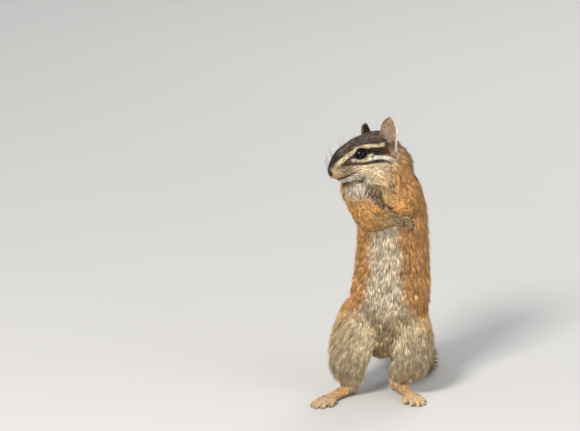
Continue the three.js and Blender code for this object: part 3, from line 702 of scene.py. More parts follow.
class Skin:
    """The skin as one closed mesh, with the distance to each part at its vertices."""

    def __init__(self, body: Body, grid: Grid) -> None:
        """Draw the surface.

        Args:
            body: The forms.
            grid: The grid that they are drawn on.
        """
        self.body = body
        axes = [grid.lines(stretches) for stretches in (grid.x, grid.y, grid.z)]
        vdb = openvdb.FloatGrid(20.0)
        vdb.copyFromArray(self.field(axes))
        points, quads = vdb.convertToQuads(0.0)
        at = np.column_stack(
            [np.interp(points[:, a], np.arange(len(axes[a])), axes[a]) for a in range(3)]
        )
        self.quads = quads.astype(int)
        self.at, self.normal = self.settle(at)
        found = body.parts(self.at)
        self.part_distance = np.column_stack([found[r] for r in Region])

    def field(self, axes: list[Array]) -> Array:
        """Measure the form on the grid, closely only where the surface may be."""
        step = 4
        shape = [len(a) // step * step for a in axes]
        axes[:] = [a[:n] for a, n in zip(axes, shape)]
        middles = [a.reshape(-1, step).mean(1) for a in axes]
        reach = [np.ptp(a.reshape(-1, step), axis=1) * step / (step - 1) / 2 for a in axes]
        centre, corner_way = (
            np.stack(np.meshgrid(*values, indexing="ij"), -1).reshape(-1, 3) for values in (middles, reach)
        )
        half = np.linalg.norm(corner_way, axis=1)
        coarse = self.measure(centre)
        close = np.flatnonzero(np.abs(coarse) < half + 0.9)
        blocks = [len(m) for m in middles]
        values = np.repeat(np.sign(coarse).reshape(blocks), step, 0).repeat(step, 1).repeat(step, 2) * 5.0
        corner = np.array(np.unravel_index(close, blocks)).T * step
        offset = np.array(np.meshgrid(*[range(step)] * 3, indexing="ij")).reshape(3, -1).T
        index = (corner[:, None, :] + offset[None]).reshape(-1, 3)
        p = np.column_stack([axes[a][index[:, a]] for a in range(3)])
        values[index[:, 0], index[:, 1], index[:, 2]] = self.measure(p)
        return values.astype(np.float32)

    def measure(self, p: Array) -> Array:
        """Measure the form at many points, some at a time."""
        batches = np.array_split(p, max(1, len(p) // 200000))
        return np.concatenate([self.body.distance(q) for q in batches])

    def slope(self, p: Array, e: float = 0.05) -> Array:
        """Give the slope of the form at points."""
        rises = [self.measure(p + e * axis) - self.measure(p - e * axis) for axis in np.eye(3)]
        return np.column_stack(rises) / (2 * e)

    def settle(self, p: Array) -> tuple[Array, Array]:
        """Draw the vertices onto the surface.

        Args:
            p: The vertices as the grid gives them.

        Returns:
            Their places on the surface, and the normals there.
        """
        for _ in range(2):
            g = self.slope(p)
            size = np.maximum(np.linalg.norm(g, axis=1), 0.4)
            move = np.clip(-self.measure(p) / size, -0.2, 0.2)
            p = p + g / size[:, None] * move[:, None]
        return p, unit(self.slope(p, 0.12))


@dataclass(frozen=True)
class Hair:
    """The hair of one part: its sizes, its tufts to the square millimetre, and how it lies."""

    length: float
    width: float
    depth: float
    density: float
    jitter: float
    gather: float


HAIR = {
    Region.TRUNK: Hair(5.4, 0.28, 1.9, 11.0, 0.17, 0.5),
    Region.HEAD: Hair(2.2, 0.17, 0.6, 26.0, 0.13, 0.35),
    Region.TAIL: Hair(13.0, 0.42, 6.0, 6.0, 0.22, 0.5),
}
for pair, hair in {
    Pair.LEG: Hair(6.4, 0.27, 2.5, 14.5, 0.26, 0.5),
    Pair.FOOT: Hair(1.3, 0.15, 0.2, 16.0, 0.12, 0.2),
    Pair.ARM: Hair(3.8, 0.23, 1.3, 16.0, 0.2, 0.45),
    Pair.PAW: Hair(1.0, 0.13, 0.14, 18.0, 0.12, 0.2),
    Pair.EAR: Hair(1.3, 0.13, 0.22, 18.0, 0.14, 0.2),
}.items():
    HAIR.update(dict.fromkeys(pair.both, hair))


def shared(share: Array, value: str) -> Array:
    """Give a value of the hair at each place, by the share of each part there."""
    return share @ np.array([getattr(HAIR[region], value) for region in Region])


class Markings:
    """The colours of the coat as functions of the place on the animal."""

    BELLY = srgb("e8d8bc")
    SPOT = srgb("5c4f44")
    LOIN = srgb("c4ae88")
    CHEST = srgb("f4e3c6")
    THROAT = srgb("dabf96")
    PATCH = srgb("d0c6b6")
    FLANK = srgb("d2a169")
    SIDE = srgb("bb8856")
    NAPE = srgb("9c8e76")
    RUMP = srgb("8f7650")
    SPINE = srgb("2a211b")
    PALE = srgb("d6ccb6")
    ASH = srgb("9b8c72")
    BROWN = srgb("46311f")
    CROWN = srgb("5e5248")
    CREAM = srgb("dccaa4")
    WHITE = srgb("efe8d8")
    MASK = srgb("33271f")
    RUST = srgb("8f6238")
    CHEEK = srgb("e8d5b2")
    JOWL = srgb("dcaa6a")
    MUZZLE = srgb("a58862")
    CHIN = srgb("ddd4c2")
    NOSE = srgb("2c221d")
    HIP = srgb("c6a06c")
    THIGH = srgb("bfad8e")
    INNER = srgb("d8c5a2")
    FOOT = srgb("c09a70")
    TOE = srgb("cdb28c")
    UPPER_ARM = srgb("c0935a")
    FOREARM = srgb("a88c60")
    PAW = srgb("927c5e")
    EAR_IN = srgb("95806a")
    EAR_BACK = srgb("1f1813")
    EAR_RIM = srgb("e4d9c4")
    # Painted shade for the hollow at the foot of each ear and the deep bowl inside it
    EAR_DEEP = srgb("33261f")
    EAR_FRONT = srgb("8c6c4e")
    TAIL_TOP = srgb("6b5238")
    TAIL_UNDER = srgb("b07a40")
    CROWN_LINE = srgb("3b3029")
    BROW = srgb("463a30")
    BRIDGE = srgb("4b3a2d")
    WHISKER_LINE = srgb("332a24")
    WHISKER_LINE_FRONT = srgb("755033")
    # Painted shade inside the nostrils
    NOSTRIL_SHADE = srgb("0c0807")
    LID = srgb("0c0908")
    # Pale ankle colour, lightened further as painted light against the shade under the leg's hair
    ANKLE_PALE_AND_LIT = srgb("f0dcb8")
    BACK_STRIPES = ((60, 6.5, BROWN), (46, 6.5, PALE), (31, 6.5, BROWN), (17, 6.5, ASH), (0, 9, SPINE))

    def __init__(self, body: Body) -> None:
        """Keep the forms that the colours are placed by."""
        self.body = body

    @staticmethod
    def band(x: Array, middle: Array | float, half: float, soft: float) -> Array:
        """Give 1 within half a width of the middle, with soft edges."""
        return 1.0 - ease(half - soft, half + soft, np.abs(x - middle))

    def trunk(self, p: Array, _: Array) -> Array:
        """Colour the trunk by the height and the angle round it from the front."""
        sweep, z = self.body.trunk, p[:, 2]
        turn = np.radians(10 + 8 * ease(30, 95, z))
        front = np.column_stack([-np.sin(turn), -np.cos(turn), np.zeros(len(p))])
        left = np.column_stack([np.cos(turn), -np.sin(turn), np.zeros(len(p))])
        r = p - sweep.at[sweep.nearest(p)[1]]
        angle = np.degrees(np.arctan2((r * left).sum(1), (r * front).sum(1)))
        wave = 3.0 * np.sin(z * 0.41 + 1.3) + 2.0 * np.sin(z * 0.93)
        round_front, from_spine = np.abs(angle) + wave, 180 - np.abs(angle)
        stripes = [
            (tint, self.band(from_spine, middle, width, 1.7)) for middle, width, tint in self.BACK_STRIPES
        ]
        back = paint(
            self.SIDE, *stripes, (self.NAPE, ease(101, 108, z) * 0.8), (self.RUMP, ease(34, 22, z) * 0.75)
        )
        patch = ease(93, 96, z) * ease(106, 103, z) * ease(5, -20, angle) * ease(-75, -55, angle)
        spot = np.exp(-(((p[:, 0] - 0.5) / 1.4) ** 2) - ((z - 36) / 2.8) ** 2)
        belly = paint(
            self.BELLY,
            (self.LOIN, ease(50, 34, z)),
            (self.CHEST, ease(84, 94, z)),
            (self.THROAT, ease(97, 104, z)),
            (self.PATCH, patch),
            (self.SPOT, spot * 0.7),
        )
        half = 27 + 30 * ease(54, 36, z) + 12 * ease(84, 92, z)
        return paint(
            self.FLANK,
            (self.SIDE, ease(75, 112, round_front)),
            (back, ease(76, 64, from_spine)),
            (self.NAPE, ease(104, 111, z) * ease(70, 110, np.abs(angle))),
            (belly, ease(9, -11, round_front - half)),
        )

    def head(self, p: Array, _: Array) -> Array:
        """Colour the head by its stripes, seen from the side."""
        head = self.body.head
        q = head.inward(p)
        x, y, z = q[:, 0], np.abs(q[:, 1]), q[:, 2]
        upper = np.interp(
            x, (-5, -3.6, 0.2, 5.5, 8.9, 12.6, 16.1, 19), (1.2, 1.5, 2.6, 3.9, 3.5, 2.4, 1.2, -0.4)
        ) + 0.22 * np.sin(x * 1.1 + 0.6) * 0.4
        white = np.interp(x, (-6, -2.5, 1.8, 5.8, 9.2, 11.4, 13), (-5.4, -4.3, -2.7, -1.9, -0.9, -0.1, 0.6))
        low = np.interp(x, (-6, -1.5, 2.4, 6.4, 10.2, 12.8, 15), (-7.2, -5.7, -4.3, -3.4, -2.3, -1.4, -0.8))
        nose_top = np.interp(x, (13, 17, 20), (2.6, 1.0, -0.6))
        face = paint(
            self.MASK,
            (self.RUST, ease(1, -5, x) * 0.3),
            (self.BRIDGE, ease(8.5, 11, x)),
            (self.MUZZLE, ease(14.8, 17.2, x)),
        )
        cheek = paint(
            self.CHEEK,
            (self.MUZZLE, ease(10, 15, x) * 0.8),
            (self.JOWL, ease(4, -6, x) * 0.8),
            (self.CHIN, ease(-6.2, -8.4, z) * ease(6, 11, x)),
        )
        dark_line = mix(self.WHISKER_LINE, self.WHISKER_LINE_FRONT, ease(3, 7, x))
        colour = paint(
            self.CROWN,
            (self.CROWN_LINE, self.band(y, 0, 1.1, 0.8) * ease(3, 5, z) * 0.7),
            (self.BROW, ease(1.2, 0.2, np.abs(z - upper - 1.5)) * 0.6),
            (face, ease(0.15, -0.15, z - upper + 0.1)),
            (cheek, ease(0.3, -0.5, z - low + 0.55)),
            (dark_line, self.band(z, low, 0.6, 0.25) * (ease(13.8, 12.2, x) * ease(-6.5, -4, x))),
            (self.WHITE, self.band(z, white, 0.8, 0.3) * ease(12.6, 11.2, x) * ease(-6, -4, x)),
            (self.CREAM, self.band(z, upper, 0.74 + 0.15 * ease(9, 15, x), 0.28)
             * ease(19.6, 15.5, x) * ease(-5.5, -3.6, x)),
            (self.NOSE, ease(13, 17, x) * ease(0.1, 1.0, z - nose_top)),
            (self.NOSE, ease(20.0, 20.5, x) * ease(-4.4, -3.8, z)),
            # painted shade inside the nostril openings, which are also carved as hollows
            (self.NOSTRIL_SHADE, ease(0.3, 0.0, head.nostril_distance(np.column_stack([x, y, z]), 1))),
            # painted shade along the crease of the mouth, which is also cut as a slit
            (self.MASK, ease(0.6, 0.25, np.abs(z - head.mouth_line(x))) * ease(10.2, 11.2, x) * 0.8),
            (self.NAPE, ease(-8, -12, x) * 0.7),
        )
        for side in Side:
            hollow = head.hollow_distance(q, side)
            own = q[:, 1] * side.sign > 3
            rear = ellipsoid(head.from_ear(q, side), (0.3, 0.2, 1.0), (3.9, 5.2, 3.4))
            g = head.from_eye(q, side)
            ring = head.in_opening(g)
            pale = ease(1.75, 1.5, ring)
            pale = pale * ease(0.25, 0.6, np.abs(g[:, 1]) / np.maximum(np.abs(g[:, 0]), 0.3))
            colour = paint(
                colour,
                # painted shade in the hollow at the foot of the ear
                (self.EAR_DEEP, ease(0.4, 0.0, hollow) * own),
                (self.EAR_RIM, ease(0.5, 0.0, rear) * ease(0.2, 0.7, hollow) * (x < -7.0) * own * 0.9),
                (self.CREAM, pale * (g[:, 2] > 0) * 0.85),
                (self.LID, ease(1.24, 1.12, ring) * (g[:, 2] > 0)),
            )
        return colour

    def leg(self, p: Array, side: Side) -> Array:
        """Colour a hind leg: tawny over the hip, greyish tan in front, paler inside, and pale below with
        painted light on the ankle against the shade under the leg's hair.
        """
        sweep, z = self.body.legs[side], p[:, 2]
        r = unit(p - sweep.at[sweep.nearest(p)[1]])
        outer = r[:, 0] * side.sign
        return paint(
            self.THIGH,
            (self.HIP, ease(0.3, 0.95, outer) * ease(23, 35, z) * 0.8),
            (self.HIP, ease(0.1, 0.8, r[:, 1]) * 0.7),
            (self.INNER, ease(0.1, -0.7, outer) * 0.8),
            # pale lower leg, partly its own colour and partly painted light against the shade under the
            # leg's hair
            (self.ANKLE_PALE_AND_LIT, ease(18, 9, z) * 0.9),
            (self.FLANK, ease(34, 44, z) * ease(-0.2, 0.6, outer)),
        )

    def foot(self, p: Array, side: Side) -> Array:
        """Colour a hind foot, paler towards the toes."""
        leg = LEGS[side]
        along = (p - np.array(leg.heel)) @ leg.way
        return mix(self.FOOT, self.TOE, ease(12, 26, along))

    def arm(self, p: Array, side: Side) -> Array:
        """Colour a fore leg, greyer towards the paw, with a pale patch on the right one."""
        sweep = self.body.arms[side]
        along = sweep.along[sweep.nearest(p)[1]]
        colour = mix(self.UPPER_ARM, self.FOREARM, ease(0.6, 0.95, along))
        colour = mix(colour, self.PAW, ease(0.93, 1.05, along) * 0.8)
        if side is Side.RIGHT:
            edge = p[:, 2] + 0.12 * p[:, 0] + 1.2 + 0.6 * ripple(p, 31)
            colour = mix(colour, self.PATCH, ease(93.0, 98.5, edge) * ease(-4, -8, p[:, 1]))
        return colour

    def paw(self, p: Array, side: Side) -> Array:
        """Colour a fore paw: like the arm above the wrist, grey on the hand."""
        arm = ARMS[side]
        wrist, palm = np.array(arm.line[4][:3]), np.array(arm.palm[:3])
        along = (p - wrist) @ unit(palm - wrist)
        return mix(self.FOREARM, self.PAW, ease(-2.2, 0.2, along))

    def ear(self, p: Array, side: Side) -> Array:
        """Colour an ear: tan inside, with painted shade deep in its bowl near the root, dark behind its
        front half, pale along the rear rim.
        """
        head = self.body.head
        u, v, w = head.from_ear(head.inward(p), side).T
        sheet, half = self.body.ear_sheet(u, v)
        u = -u * side.sign / np.maximum(half, 0.6)
        inside = ease(-0.25, 0.15, w - sheet)
        rim = ease(0.72, 0.92, np.abs(u))
        return paint(
            self.EAR_BACK,
            (self.EAR_RIM, ease(0.2, 0.8, -u)),
            (self.EAR_IN, inside),
            # painted shade deep in the bowl of the ear, near its root
            (self.EAR_DEEP, ease(4.2, 1.0, v) * inside * ease(0.9, 0.5, np.abs(u))),
            (self.EAR_RIM, rim * (u < 0) * 0.9),
            (self.EAR_FRONT, rim * (u > 0) * 0.8),
        )

    def tail(self, _: Array, n: Array) -> Array:
        """Colour the tail, tawny below and grizzled above."""
        return mix(self.TAIL_TOP, self.TAIL_UNDER, ease(-0.1, -0.7, n[:, 2]))

    def colour(self, p: Array, n: Array, weight: Array) -> Array:
        """Colour places on the skin.

        Args:
            p: The places.
            n: The normals there.
            weight: The share of each part at each place.

        Returns:
            A colour in linear light for each place.
        """
        total = np.zeros((len(p), 3))
        makers = {Region.TRUNK: self.trunk, Region.HEAD: self.head, Region.TAIL: self.tail}
        pairs = dict(zip(Pair, (self.leg, self.foot, self.arm, self.paw, self.ear)))
        for side in Side:
            for pair, make in pairs.items():
                makers[pair.on(side)] = lambda q, _, make=make, side=side: make(q, side)
        for region, make in makers.items():
            w = weight[:, region.value]
            chosen = np.flatnonzero(w > 0.01)
            if len(chosen):
                total[chosen] += make(p[chosen], n[chosen]) * w[chosen, None]
        return total / np.maximum(weight.sum(1, keepdims=True), 1e-6)


class Lie:
    """The share of each part at a place, and the way that the hair lies there."""

    def __init__(self, body: Body) -> None:
        """Keep the forms."""
        self.body = body

    @staticmethod
    def shares(part_distance: Array, soft: float) -> Array:
        """Share each place among the parts by how near they are."""
        w = np.exp(-(part_distance - part_distance.min(1, keepdims=True)) / soft)
        w[w < 0.02] = 0
        return w / w.sum(1, keepdims=True)

    def way(self, p: Array, n: Array, share: Array) -> Array:
        """Give the direction of the hair along the skin.

        Args:
            p: The places.
            n: The normals there.
            share: The share of each part at each place.

        Returns:
            A direction of length one for each place.
        """
        body, head = self.body, self.body.head
        ways = np.zeros((len(p), len(Region), 3))
        ways[:, Region.TRUNK.value] = -body.trunk.way[body.trunk.nearest(p)[1]]
        q = head.inward(p)
        away = np.column_stack([-np.ones(len(p)), 0.25 * np.tanh(q[:, 1] / 3), -0.22 - 0.02 * q[:, 2]])
        ways[:, Region.HEAD.value] = away @ head.axes
        ways[:, Region.TAIL.value] = body.tail.way[body.tail.nearest(p)[1]]
        for side in Side:
            for pair, sweep in ((Pair.LEG, body.legs[side]), (Pair.ARM, body.arms[side])):
                ways[:, pair.on(side).value] = sweep.way[sweep.nearest(p)[1]]
            ways[:, Pair.FOOT.on(side).value] = LEGS[side].way
            ways[:, Pair.PAW.on(side).value] = unit(np.array(ARMS[side].knuckle_way))
            ways[:, Pair.EAR.on(side).value] = head.ear_axes(side)[1][1] @ head.axes
        way = (ways * share[:, :, None]).sum(1)
        way += 0.12 * np.column_stack([ripple(p, 1), ripple(p, 2), ripple(p, 3)])
        return unit(way - n * (way * n).sum(1, keepdims=True))


class Stage(Enum):
    """What is made, for the log."""

    SKIN = "skin"
    COAT = "coat"
    EYES = "eyes"
    CLAWS = "claws"
    WHISKERS = "whiskers"
    STUDIO = "studio"


class Place:
    """Turns millimetres in the animal's own axes into metres in the model's frame."""

    def __init__(self, head: Head) -> None:
        """Find the shift from where the left eye stands."""
        low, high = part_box("eye_left")
        middle = (np.array(low) + np.array(high)) / 2
        self.shift = middle - head.eye_at(Side.LEFT) * MM

    def metres(self, p: Array) -> Array:
        """Give the places in the model's frame."""
        return np.asarray(p) * MM + self.shift


def stand(name: str, data: bpy.types.ID) -> bpy.types.Object:
    """Put a new object in the scene."""
    piece = bpy.data.objects.new(name, data)
    bpy.context.scene.collection.objects.link(piece)
    return piece


def make_mesh(name: str, points: Array, corners: Array, material: bpy.types.Material) -> bpy.types.Object:
    """Make a smooth mesh object.

    Args:
        name: The name of the piece.
        points: Its vertices, in metres.
        corners: The vertices of each face, all faces with the same number.
        material: Its finish.

    Returns:
        The object, linked to the scene.
    """
    mesh = bpy.data.meshes.new(name)
    count, sides = corners.shape
    mesh.vertices.add(len(points))
    mesh.vertices.foreach_set("co", np.ascontiguousarray(points, np.float32).ravel())
    mesh.loops.add(count * sides)
    mesh.loops.foreach_set("vertex_index", np.ascontiguousarray(corners, np.int32).ravel())
    mesh.polygons.add(count)
    mesh.polygons.foreach_set("loop_start", np.arange(0, count * sides, sides, dtype=np.int32))
    mesh.polygons.foreach_set("use_smooth", np.ones(count, bool))
    mesh.update(calc_edges=True)
    mesh.materials.append(material)
    return stand(name, mesh)


def give_map(piece: bpy.types.Object, at: Array) -> None:
    """Store the unwrap of a piece, one place for each corner of its faces."""
    layer = piece.data.uv_layers.new(name="OFBake")
    layer.data.foreach_set("uv", np.ascontiguousarray(at, np.float32).ravel())


def give(piece: bpy.types.Object, name: str, kind: str, values: Array) -> None:
    """Store values at the vertices of a piece for its finish."""
    layer = piece.data.attributes.new(name, kind, "POINT")
    if kind == "FLOAT_COLOR":
        values = np.column_stack([values, np.ones(len(values))])
        layer.data.foreach_set("color", np.ascontiguousarray(values, np.float32).ravel())
    else:
        layer.data.foreach_set("value", np.ascontiguousarray(values, np.float32))


class Unwrap:
    """The skin laid flat: each part is seen along the axis that it faces, chart beside chart."""

    def __init__(self, skin: Skin) -> None:
        """Lay out the charts.

        Args:
            skin: The skin.
        """
        quads, at = skin.quads, skin.at
        part = skin.part_distance.argmin(1)[quads[:, 0]]
        a = at[quads]
        facing = np.cross(a[:, 2] - a[:, 0], a[:, 3] - a[:, 1])
        axis = np.abs(facing).argmax(1)
        sign = facing[np.arange(len(quads)), axis] > 0
        self.chart = (part * 6 + axis * 2 + sign).astype(int)
        self.axis_pairs = np.array([[1, 2], [0, 2], [0, 1]])
        self.low = np.zeros((len(Region) * 6, 2))
        sizes = np.zeros((len(Region) * 6, 2))
        for c in np.unique(self.chart):
            flat = a[self.chart == c][..., self.axis_pairs[(c % 6) // 2]]
            self.low[c] = flat.min((0, 1))
            sizes[c] = flat.max((0, 1)) - self.low[c] + 2.0
        self.spot = np.zeros_like(self.low)
        width = math.sqrt(sizes.prod(1).sum()) * 1.12
        x = y = row = 0.0
        for c in np.argsort(-sizes[:, 1]):
            if sizes[c, 0] == 0:
                continue
            if x + sizes[c, 0] > width:
                x, y, row = 0.0, y + row, 0.0
            self.spot[c] = x, y
            x, row = x + sizes[c, 0], max(row, sizes[c, 1])
        self.span = max(width, y + row)

    def flat(self, p: Array, chart: Array) -> Array:
        """Give the place on the unwrap of points that belong to charts."""
        pairs = self.axis_pairs[(chart % 6) // 2]
        q = np.take_along_axis(p, pairs, axis=-1)
        return (q - self.low[chart] + self.spot[chart] + 1.0) / self.span


@dataclass
class Roots:
    """Where the tufts grow, and how."""

    at: Array
    normal: Array
    way: Array
    colour: Array
    region: Array
    share: Array
    flat: Array


class Coat:
    """The coat: thin closed tufts from roots spread over the skin."""

    RING = 0.36
    ROOT_DEPTH = 0.12
    PATCH = 0.0015
    PIECE_TUFTS = 33000
    HEIGHTS = np.array([0.0, RING, RING, RING, 1.0])
    FACES = np.array([[0, 2, 1], [0, 3, 2], [0, 1, 3], [4, 1, 2], [4, 2, 3], [4, 3, 1]])
    GROUPS = {
        "head": (Region.HEAD, *Pair.EAR.both),
        "trunk": (Region.TRUNK,),
        "legs": (*Pair.LEG.both, *Pair.FOOT.both),
        "arms": (*Pair.ARM.both, *Pair.PAW.both),
        "tail": (Region.TAIL,),
    }

    def __init__(self, skin: Skin, unwrap: Unwrap, markings: Markings, lie: Lie, thin: float) -> None:
        """Spread the roots.

        Args:
            skin: The skin.
            unwrap: Its unwrap.
            markings: The colours.
            lie: The lie of the hair.
            thin: The share of the tufts that is made.
        """
        self.skin, self.unwrap, self.markings, self.lie = skin, unwrap, markings, lie
        self.thin = thin
        self.rng = np.random.default_rng(COAT_SEED)
        self.roots = self.spread()

    def spread(self) -> Roots:
        """Choose the roots, more where the hair is fine."""
        skin, rng = self.skin, self.rng
        q = skin.quads
        tri = np.vstack([q[:, [0, 1, 2]], q[:, [0, 2, 3]]])
        chart = np.tile(self.unwrap.chart, 2)
        a, b, c = (skin.at[tri[:, i]] for i in range(3))
        area = np.linalg.norm(np.cross(b - a, c - a), axis=1) / 2
        middle = (a + b + c) / 3
        share = Lie.shares(skin.part_distance[tri[:, 0]], SHARE_SOFT["density"])
        density = shared(share, "density") * self.cover(middle)
        count = rng.poisson(area * density * self.thin)
        face = np.repeat(np.arange(len(tri)), count)
        u, v = rng.random((2, len(face)))
        flip = u + v > 1
        u[flip], v[flip] = 1 - u[flip], 1 - v[flip]
        w = np.column_stack([1 - u - v, u, v])
        known = (skin.at, skin.normal, skin.part_distance)
        at, normal, distance = ((values[tri[face]] * w[:, :, None]).sum(1) for values in known)
        normal = unit(normal)
        size, colour, lie = (Lie.shares(distance, SHARE_SOFT[k]) for k in ("size", "colour", "lie"))
        return Roots(
            at=at,
            normal=normal,
            way=self.lie.way(at, normal, lie),
            colour=self.markings.colour(at, normal, colour),
            region=distance.argmin(1),
            share=size,
            flat=self.unwrap.flat(at, chart[face]),
        )

    def cover(self, p: Array) -> Array:
        """Leave bare the nose, the soles, the eyes and the gap of the lips."""
        head = self.skin.body.head
        q = head.inward(p)
        on_head = np.linalg.norm(q, axis=1) < HEAD_REACH
        keep = np.where(on_head, ease(20.5, 19.9, q[:, 0]), 1.0)
        for side in Side:
            from_eye = np.linalg.norm(q - head.eye_in(side), axis=1)
            keep *= ease(head.eye_radius + 0.35, head.eye_radius + 0.75, from_eye)
            keep *= ease(0.3, 1.0, head.hollow_distance(q, side))
        lips = on_head & (q[:, 0] > 9) & (np.abs(q[:, 2] - head.mouth_line(q[:, 0])) < 0.3)
        return np.where(lips | (p[:, 2] < 0.35), 0.0, keep)

    def sizes(self) -> tuple[Array, Array, Array]:
        """Give the length, width and height of each tuft."""
        share, rng = self.roots.share, self.rng
        body, z = self.skin.body, self.roots.at[:, 2]
        q = body.head.inward(self.roots.at)
        on_head, on_tail = share[:, Region.HEAD.value], share[:, Region.TAIL.value]
        face = 1 - on_head * (0.45 * ease(6, 14, q[:, 0]) + 0.25 * ease(14, 18, q[:, 0]))
        cheek = 1 + on_head * 0.5 * ease(-2, -7, q[:, 2]) * ease(9, 2, q[:, 0])
        length = shared(share, "length") * face * cheek
        width = shared(share, "width") * (0.4 + 0.6 * face)
        depth = shared(share, "depth") * face * cheek
        wrists = {side: arm.along[arm.nearest(self.roots.at)[1]] for side, arm in body.arms.items()}
        thinner = [(Pair.LEG, side, ease(14, 7, z), (0.55, 0.35, 0.75)) for side in Side]
        thinner += [(Pair.ARM, side, ease(0.6, 0.95, wrists[side]), (0.5, 0.3, 0.7)) for side in Side]
        for pair, side, amount, by in thinner:
            less = share[:, pair.on(side).value] * amount
            length, width, depth = (v * (1 - k * less) for v, k in zip((length, width, depth), by))
        along = body.tail.along[body.tail.nearest(self.roots.at)[1]]
        flat_out = 1 - 0.55 * np.abs(self.roots.normal[:, 2])
        full = 0.45 + 0.55 * ease(0.0, 0.25, along)
        length = length * (1 - on_tail + on_tail * full)
        depth = depth * (1 - on_tail + on_tail * full * flat_out * (1 - 0.5 * ease(0.8, 1.0, along)))
        scale = np.exp(rng.normal(0, 0.13, len(length)))
        guard = (rng.random(len(length)) < 0.09) & (length > 2.4) & (on_tail < 0.5)
        length = np.where(guard, length * 1.4, length) * scale
        depth = np.where(guard, depth * 1.6, depth) * scale
        width = np.where(guard, width * 0.6, width) * np.exp(rng.normal(0, 0.2, len(length)))
        return length, width, depth

    def locks(self) -> Array:
        """Give the number of the guide that each tuft leans towards, the nearest of every eleventh."""
        index = np.flatnonzero(self.rng.random(len(self.roots.at)) < 1 / 11)
        tree = kdtree.KDTree(len(index))
        for i, at in zip(index, self.roots.at[index]):
            tree.insert(at, int(i))
        tree.balance()
        return np.array([tree.find(at)[1] for at in self.roots.at])

    def tufts(self) -> tuple[Array, Array]:
        """Shape the tufts.

        Returns:
            The vertices of each tuft, and the number of the guide that it leans towards.
        """
        r, rng = self.roots, self.rng
        length, width, height = self.sizes()
        side = np.cross(r.normal, r.way)
        turn = rng.normal(0, 1, len(length)) * shared(r.share, "jitter")
        way = r.way * np.cos(turn)[:, None] + side * np.sin(turn)[:, None]
        height = np.clip(height * rng.uniform(0.55, 1.12, len(length)), 0, length * 0.85)
        run = np.sqrt(length**2 - height**2)
        base = r.at - r.normal * self.ROOT_DEPTH
        tip = base + way * run[:, None] + r.normal * height[:, None]
        lock = self.locks()
        tip = tip + (tip[lock] - tip) * shared(r.share, "gather")[:, None]
        tip[:, 2] = np.maximum(tip[:, 2], 0.08)
        ring = base + (tip - base) * self.RING + r.normal * (height * 0.3)[:, None]
        ring[:, 2] = np.maximum(ring[:, 2], 0.2)
        along = unit(tip - base)
        side = unit(np.cross(r.normal, along))
        half = (width / 2)[:, None]
        top = ring + np.cross(along, side) * (half * 0.55)
        return np.stack([base, ring + side * half, top, ring - side * half, tip], axis=1), lock

    def tones(self, lock: Array) -> Array:
        """Give the brightness of each tuft: uneven from lock to lock, with dark and pale flecks."""
        r, rng, count = self.roots, self.rng, len(lock)
        tone = 1 + rng.normal(0, 0.15, count) + rng.normal(0, 0.2, count)[lock]
        tone = tone + 0.12 * ripple(r.at * 0.8, 21)
        dark = r.share @ np.array([0.12 if g is Region.TRUNK else 0.08 for g in Region])
        crown = r.share[:, Region.HEAD.value] * (r.colour.sum(1) < 0.35)
        chance, kind = rng.random((2, count))
        alike = rng.random(count) < 0.7
        chance, kind = (np.where(alike, v[lock], v) for v in (chance, kind))
        fleck = np.where(kind < 0.65 - 0.15 * crown, 0.5 - 0.15 * crown, 1.25 + 1.2 * crown)
        tone = np.where(chance < dark + 0.5 * crown, tone * fleck, tone)
        return np.clip(np.minimum(tone, 1.6 + 1.3 * crown), 0.25, 2.9)

    def pieces(self, place: Place, material: bpy.types.Material) -> list[bpy.types.Object]:
        """Make the pieces of the coat.

        Args:
            place: The model's frame.
            material: The finish.

        Returns:
            The objects.
        """
        points, lock = self.tufts()
        tone, r = self.tones(lock), self.roots
        corners_each = points.shape[1]
        order = np.argsort(r.region, kind="stable")
        made = []
        for name, regions in self.GROUPS.items():
            chosen = order[np.isin(r.region[order], [g.value for g in regions])]
            parts = np.array_split(chosen, max(1, math.ceil(len(chosen) / self.PIECE_TUFTS)))
            for number, part in enumerate(parts, 1):
                first = corners_each * np.arange(len(part))
                corners = (self.FACES[None] + first[:, None, None]).reshape(-1, 3)
                at = place.metres(points[part].reshape(-1, 3))
                piece = make_mesh(f"coat_{name}_{number}", at, corners, material)
                give(piece, "hair", "FLOAT_COLOR", np.repeat(r.colour[part], corners_each, axis=0))
                give(piece, "tip", "FLOAT", np.tile(self.HEIGHTS, len(part)))
                give(piece, "tone", "FLOAT", np.repeat(tone[part], corners_each))
                give(piece, "long", "FLOAT", np.repeat(r.share[part, Region.TAIL.value], corners_each))
                self.unwrap_tufts(piece, r.flat[part], corners)
                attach(piece, "root")
                made.append(piece)
        return made

    @staticmethod
    def unwrap_tufts(piece: bpy.types.Object, flat: Array, corners: Array) -> None:
        """Give each tuft a small patch round its root's place on the skin's unwrap."""
        patch = np.array([[0, -1], [-1, 0], [0.2, 0.15], [1, 0], [0, 1]]) * Coat.PATCH
        at = (flat[:, None, :] + patch[None]).reshape(-1, 2)
        give_map(piece, at[corners.ravel()])


class Socket:
    """A value in a finish, with the sums that are written on it."""

    def __init__(self, nodes: "Finish", socket: bpy.types.NodeSocket) -> None:
        """Keep the socket."""
        self.nodes, self.socket = nodes, socket

    def _math(self, operation: str, *others: "Socket | float") -> "Socket":
        """Add a Math node."""
        return self.nodes.add("ShaderNodeMath", {"operation": operation}, [self, *others])

    def __add__(self, other: "Socket | float") -> "Socket":
        """Add."""
        return self._math("ADD", other)

    def __mul__(self, other: "Socket | float") -> "Socket":
        """Multiply."""
        return self._math("MULTIPLY", other)

    def __rsub__(self, other: float) -> "Socket":
        """Subtract this from a number."""
        return self.nodes.add("ShaderNodeMath", {"operation": "SUBTRACT"}, [other, self])

    __radd__ = __add__
    __rmul__ = __mul__


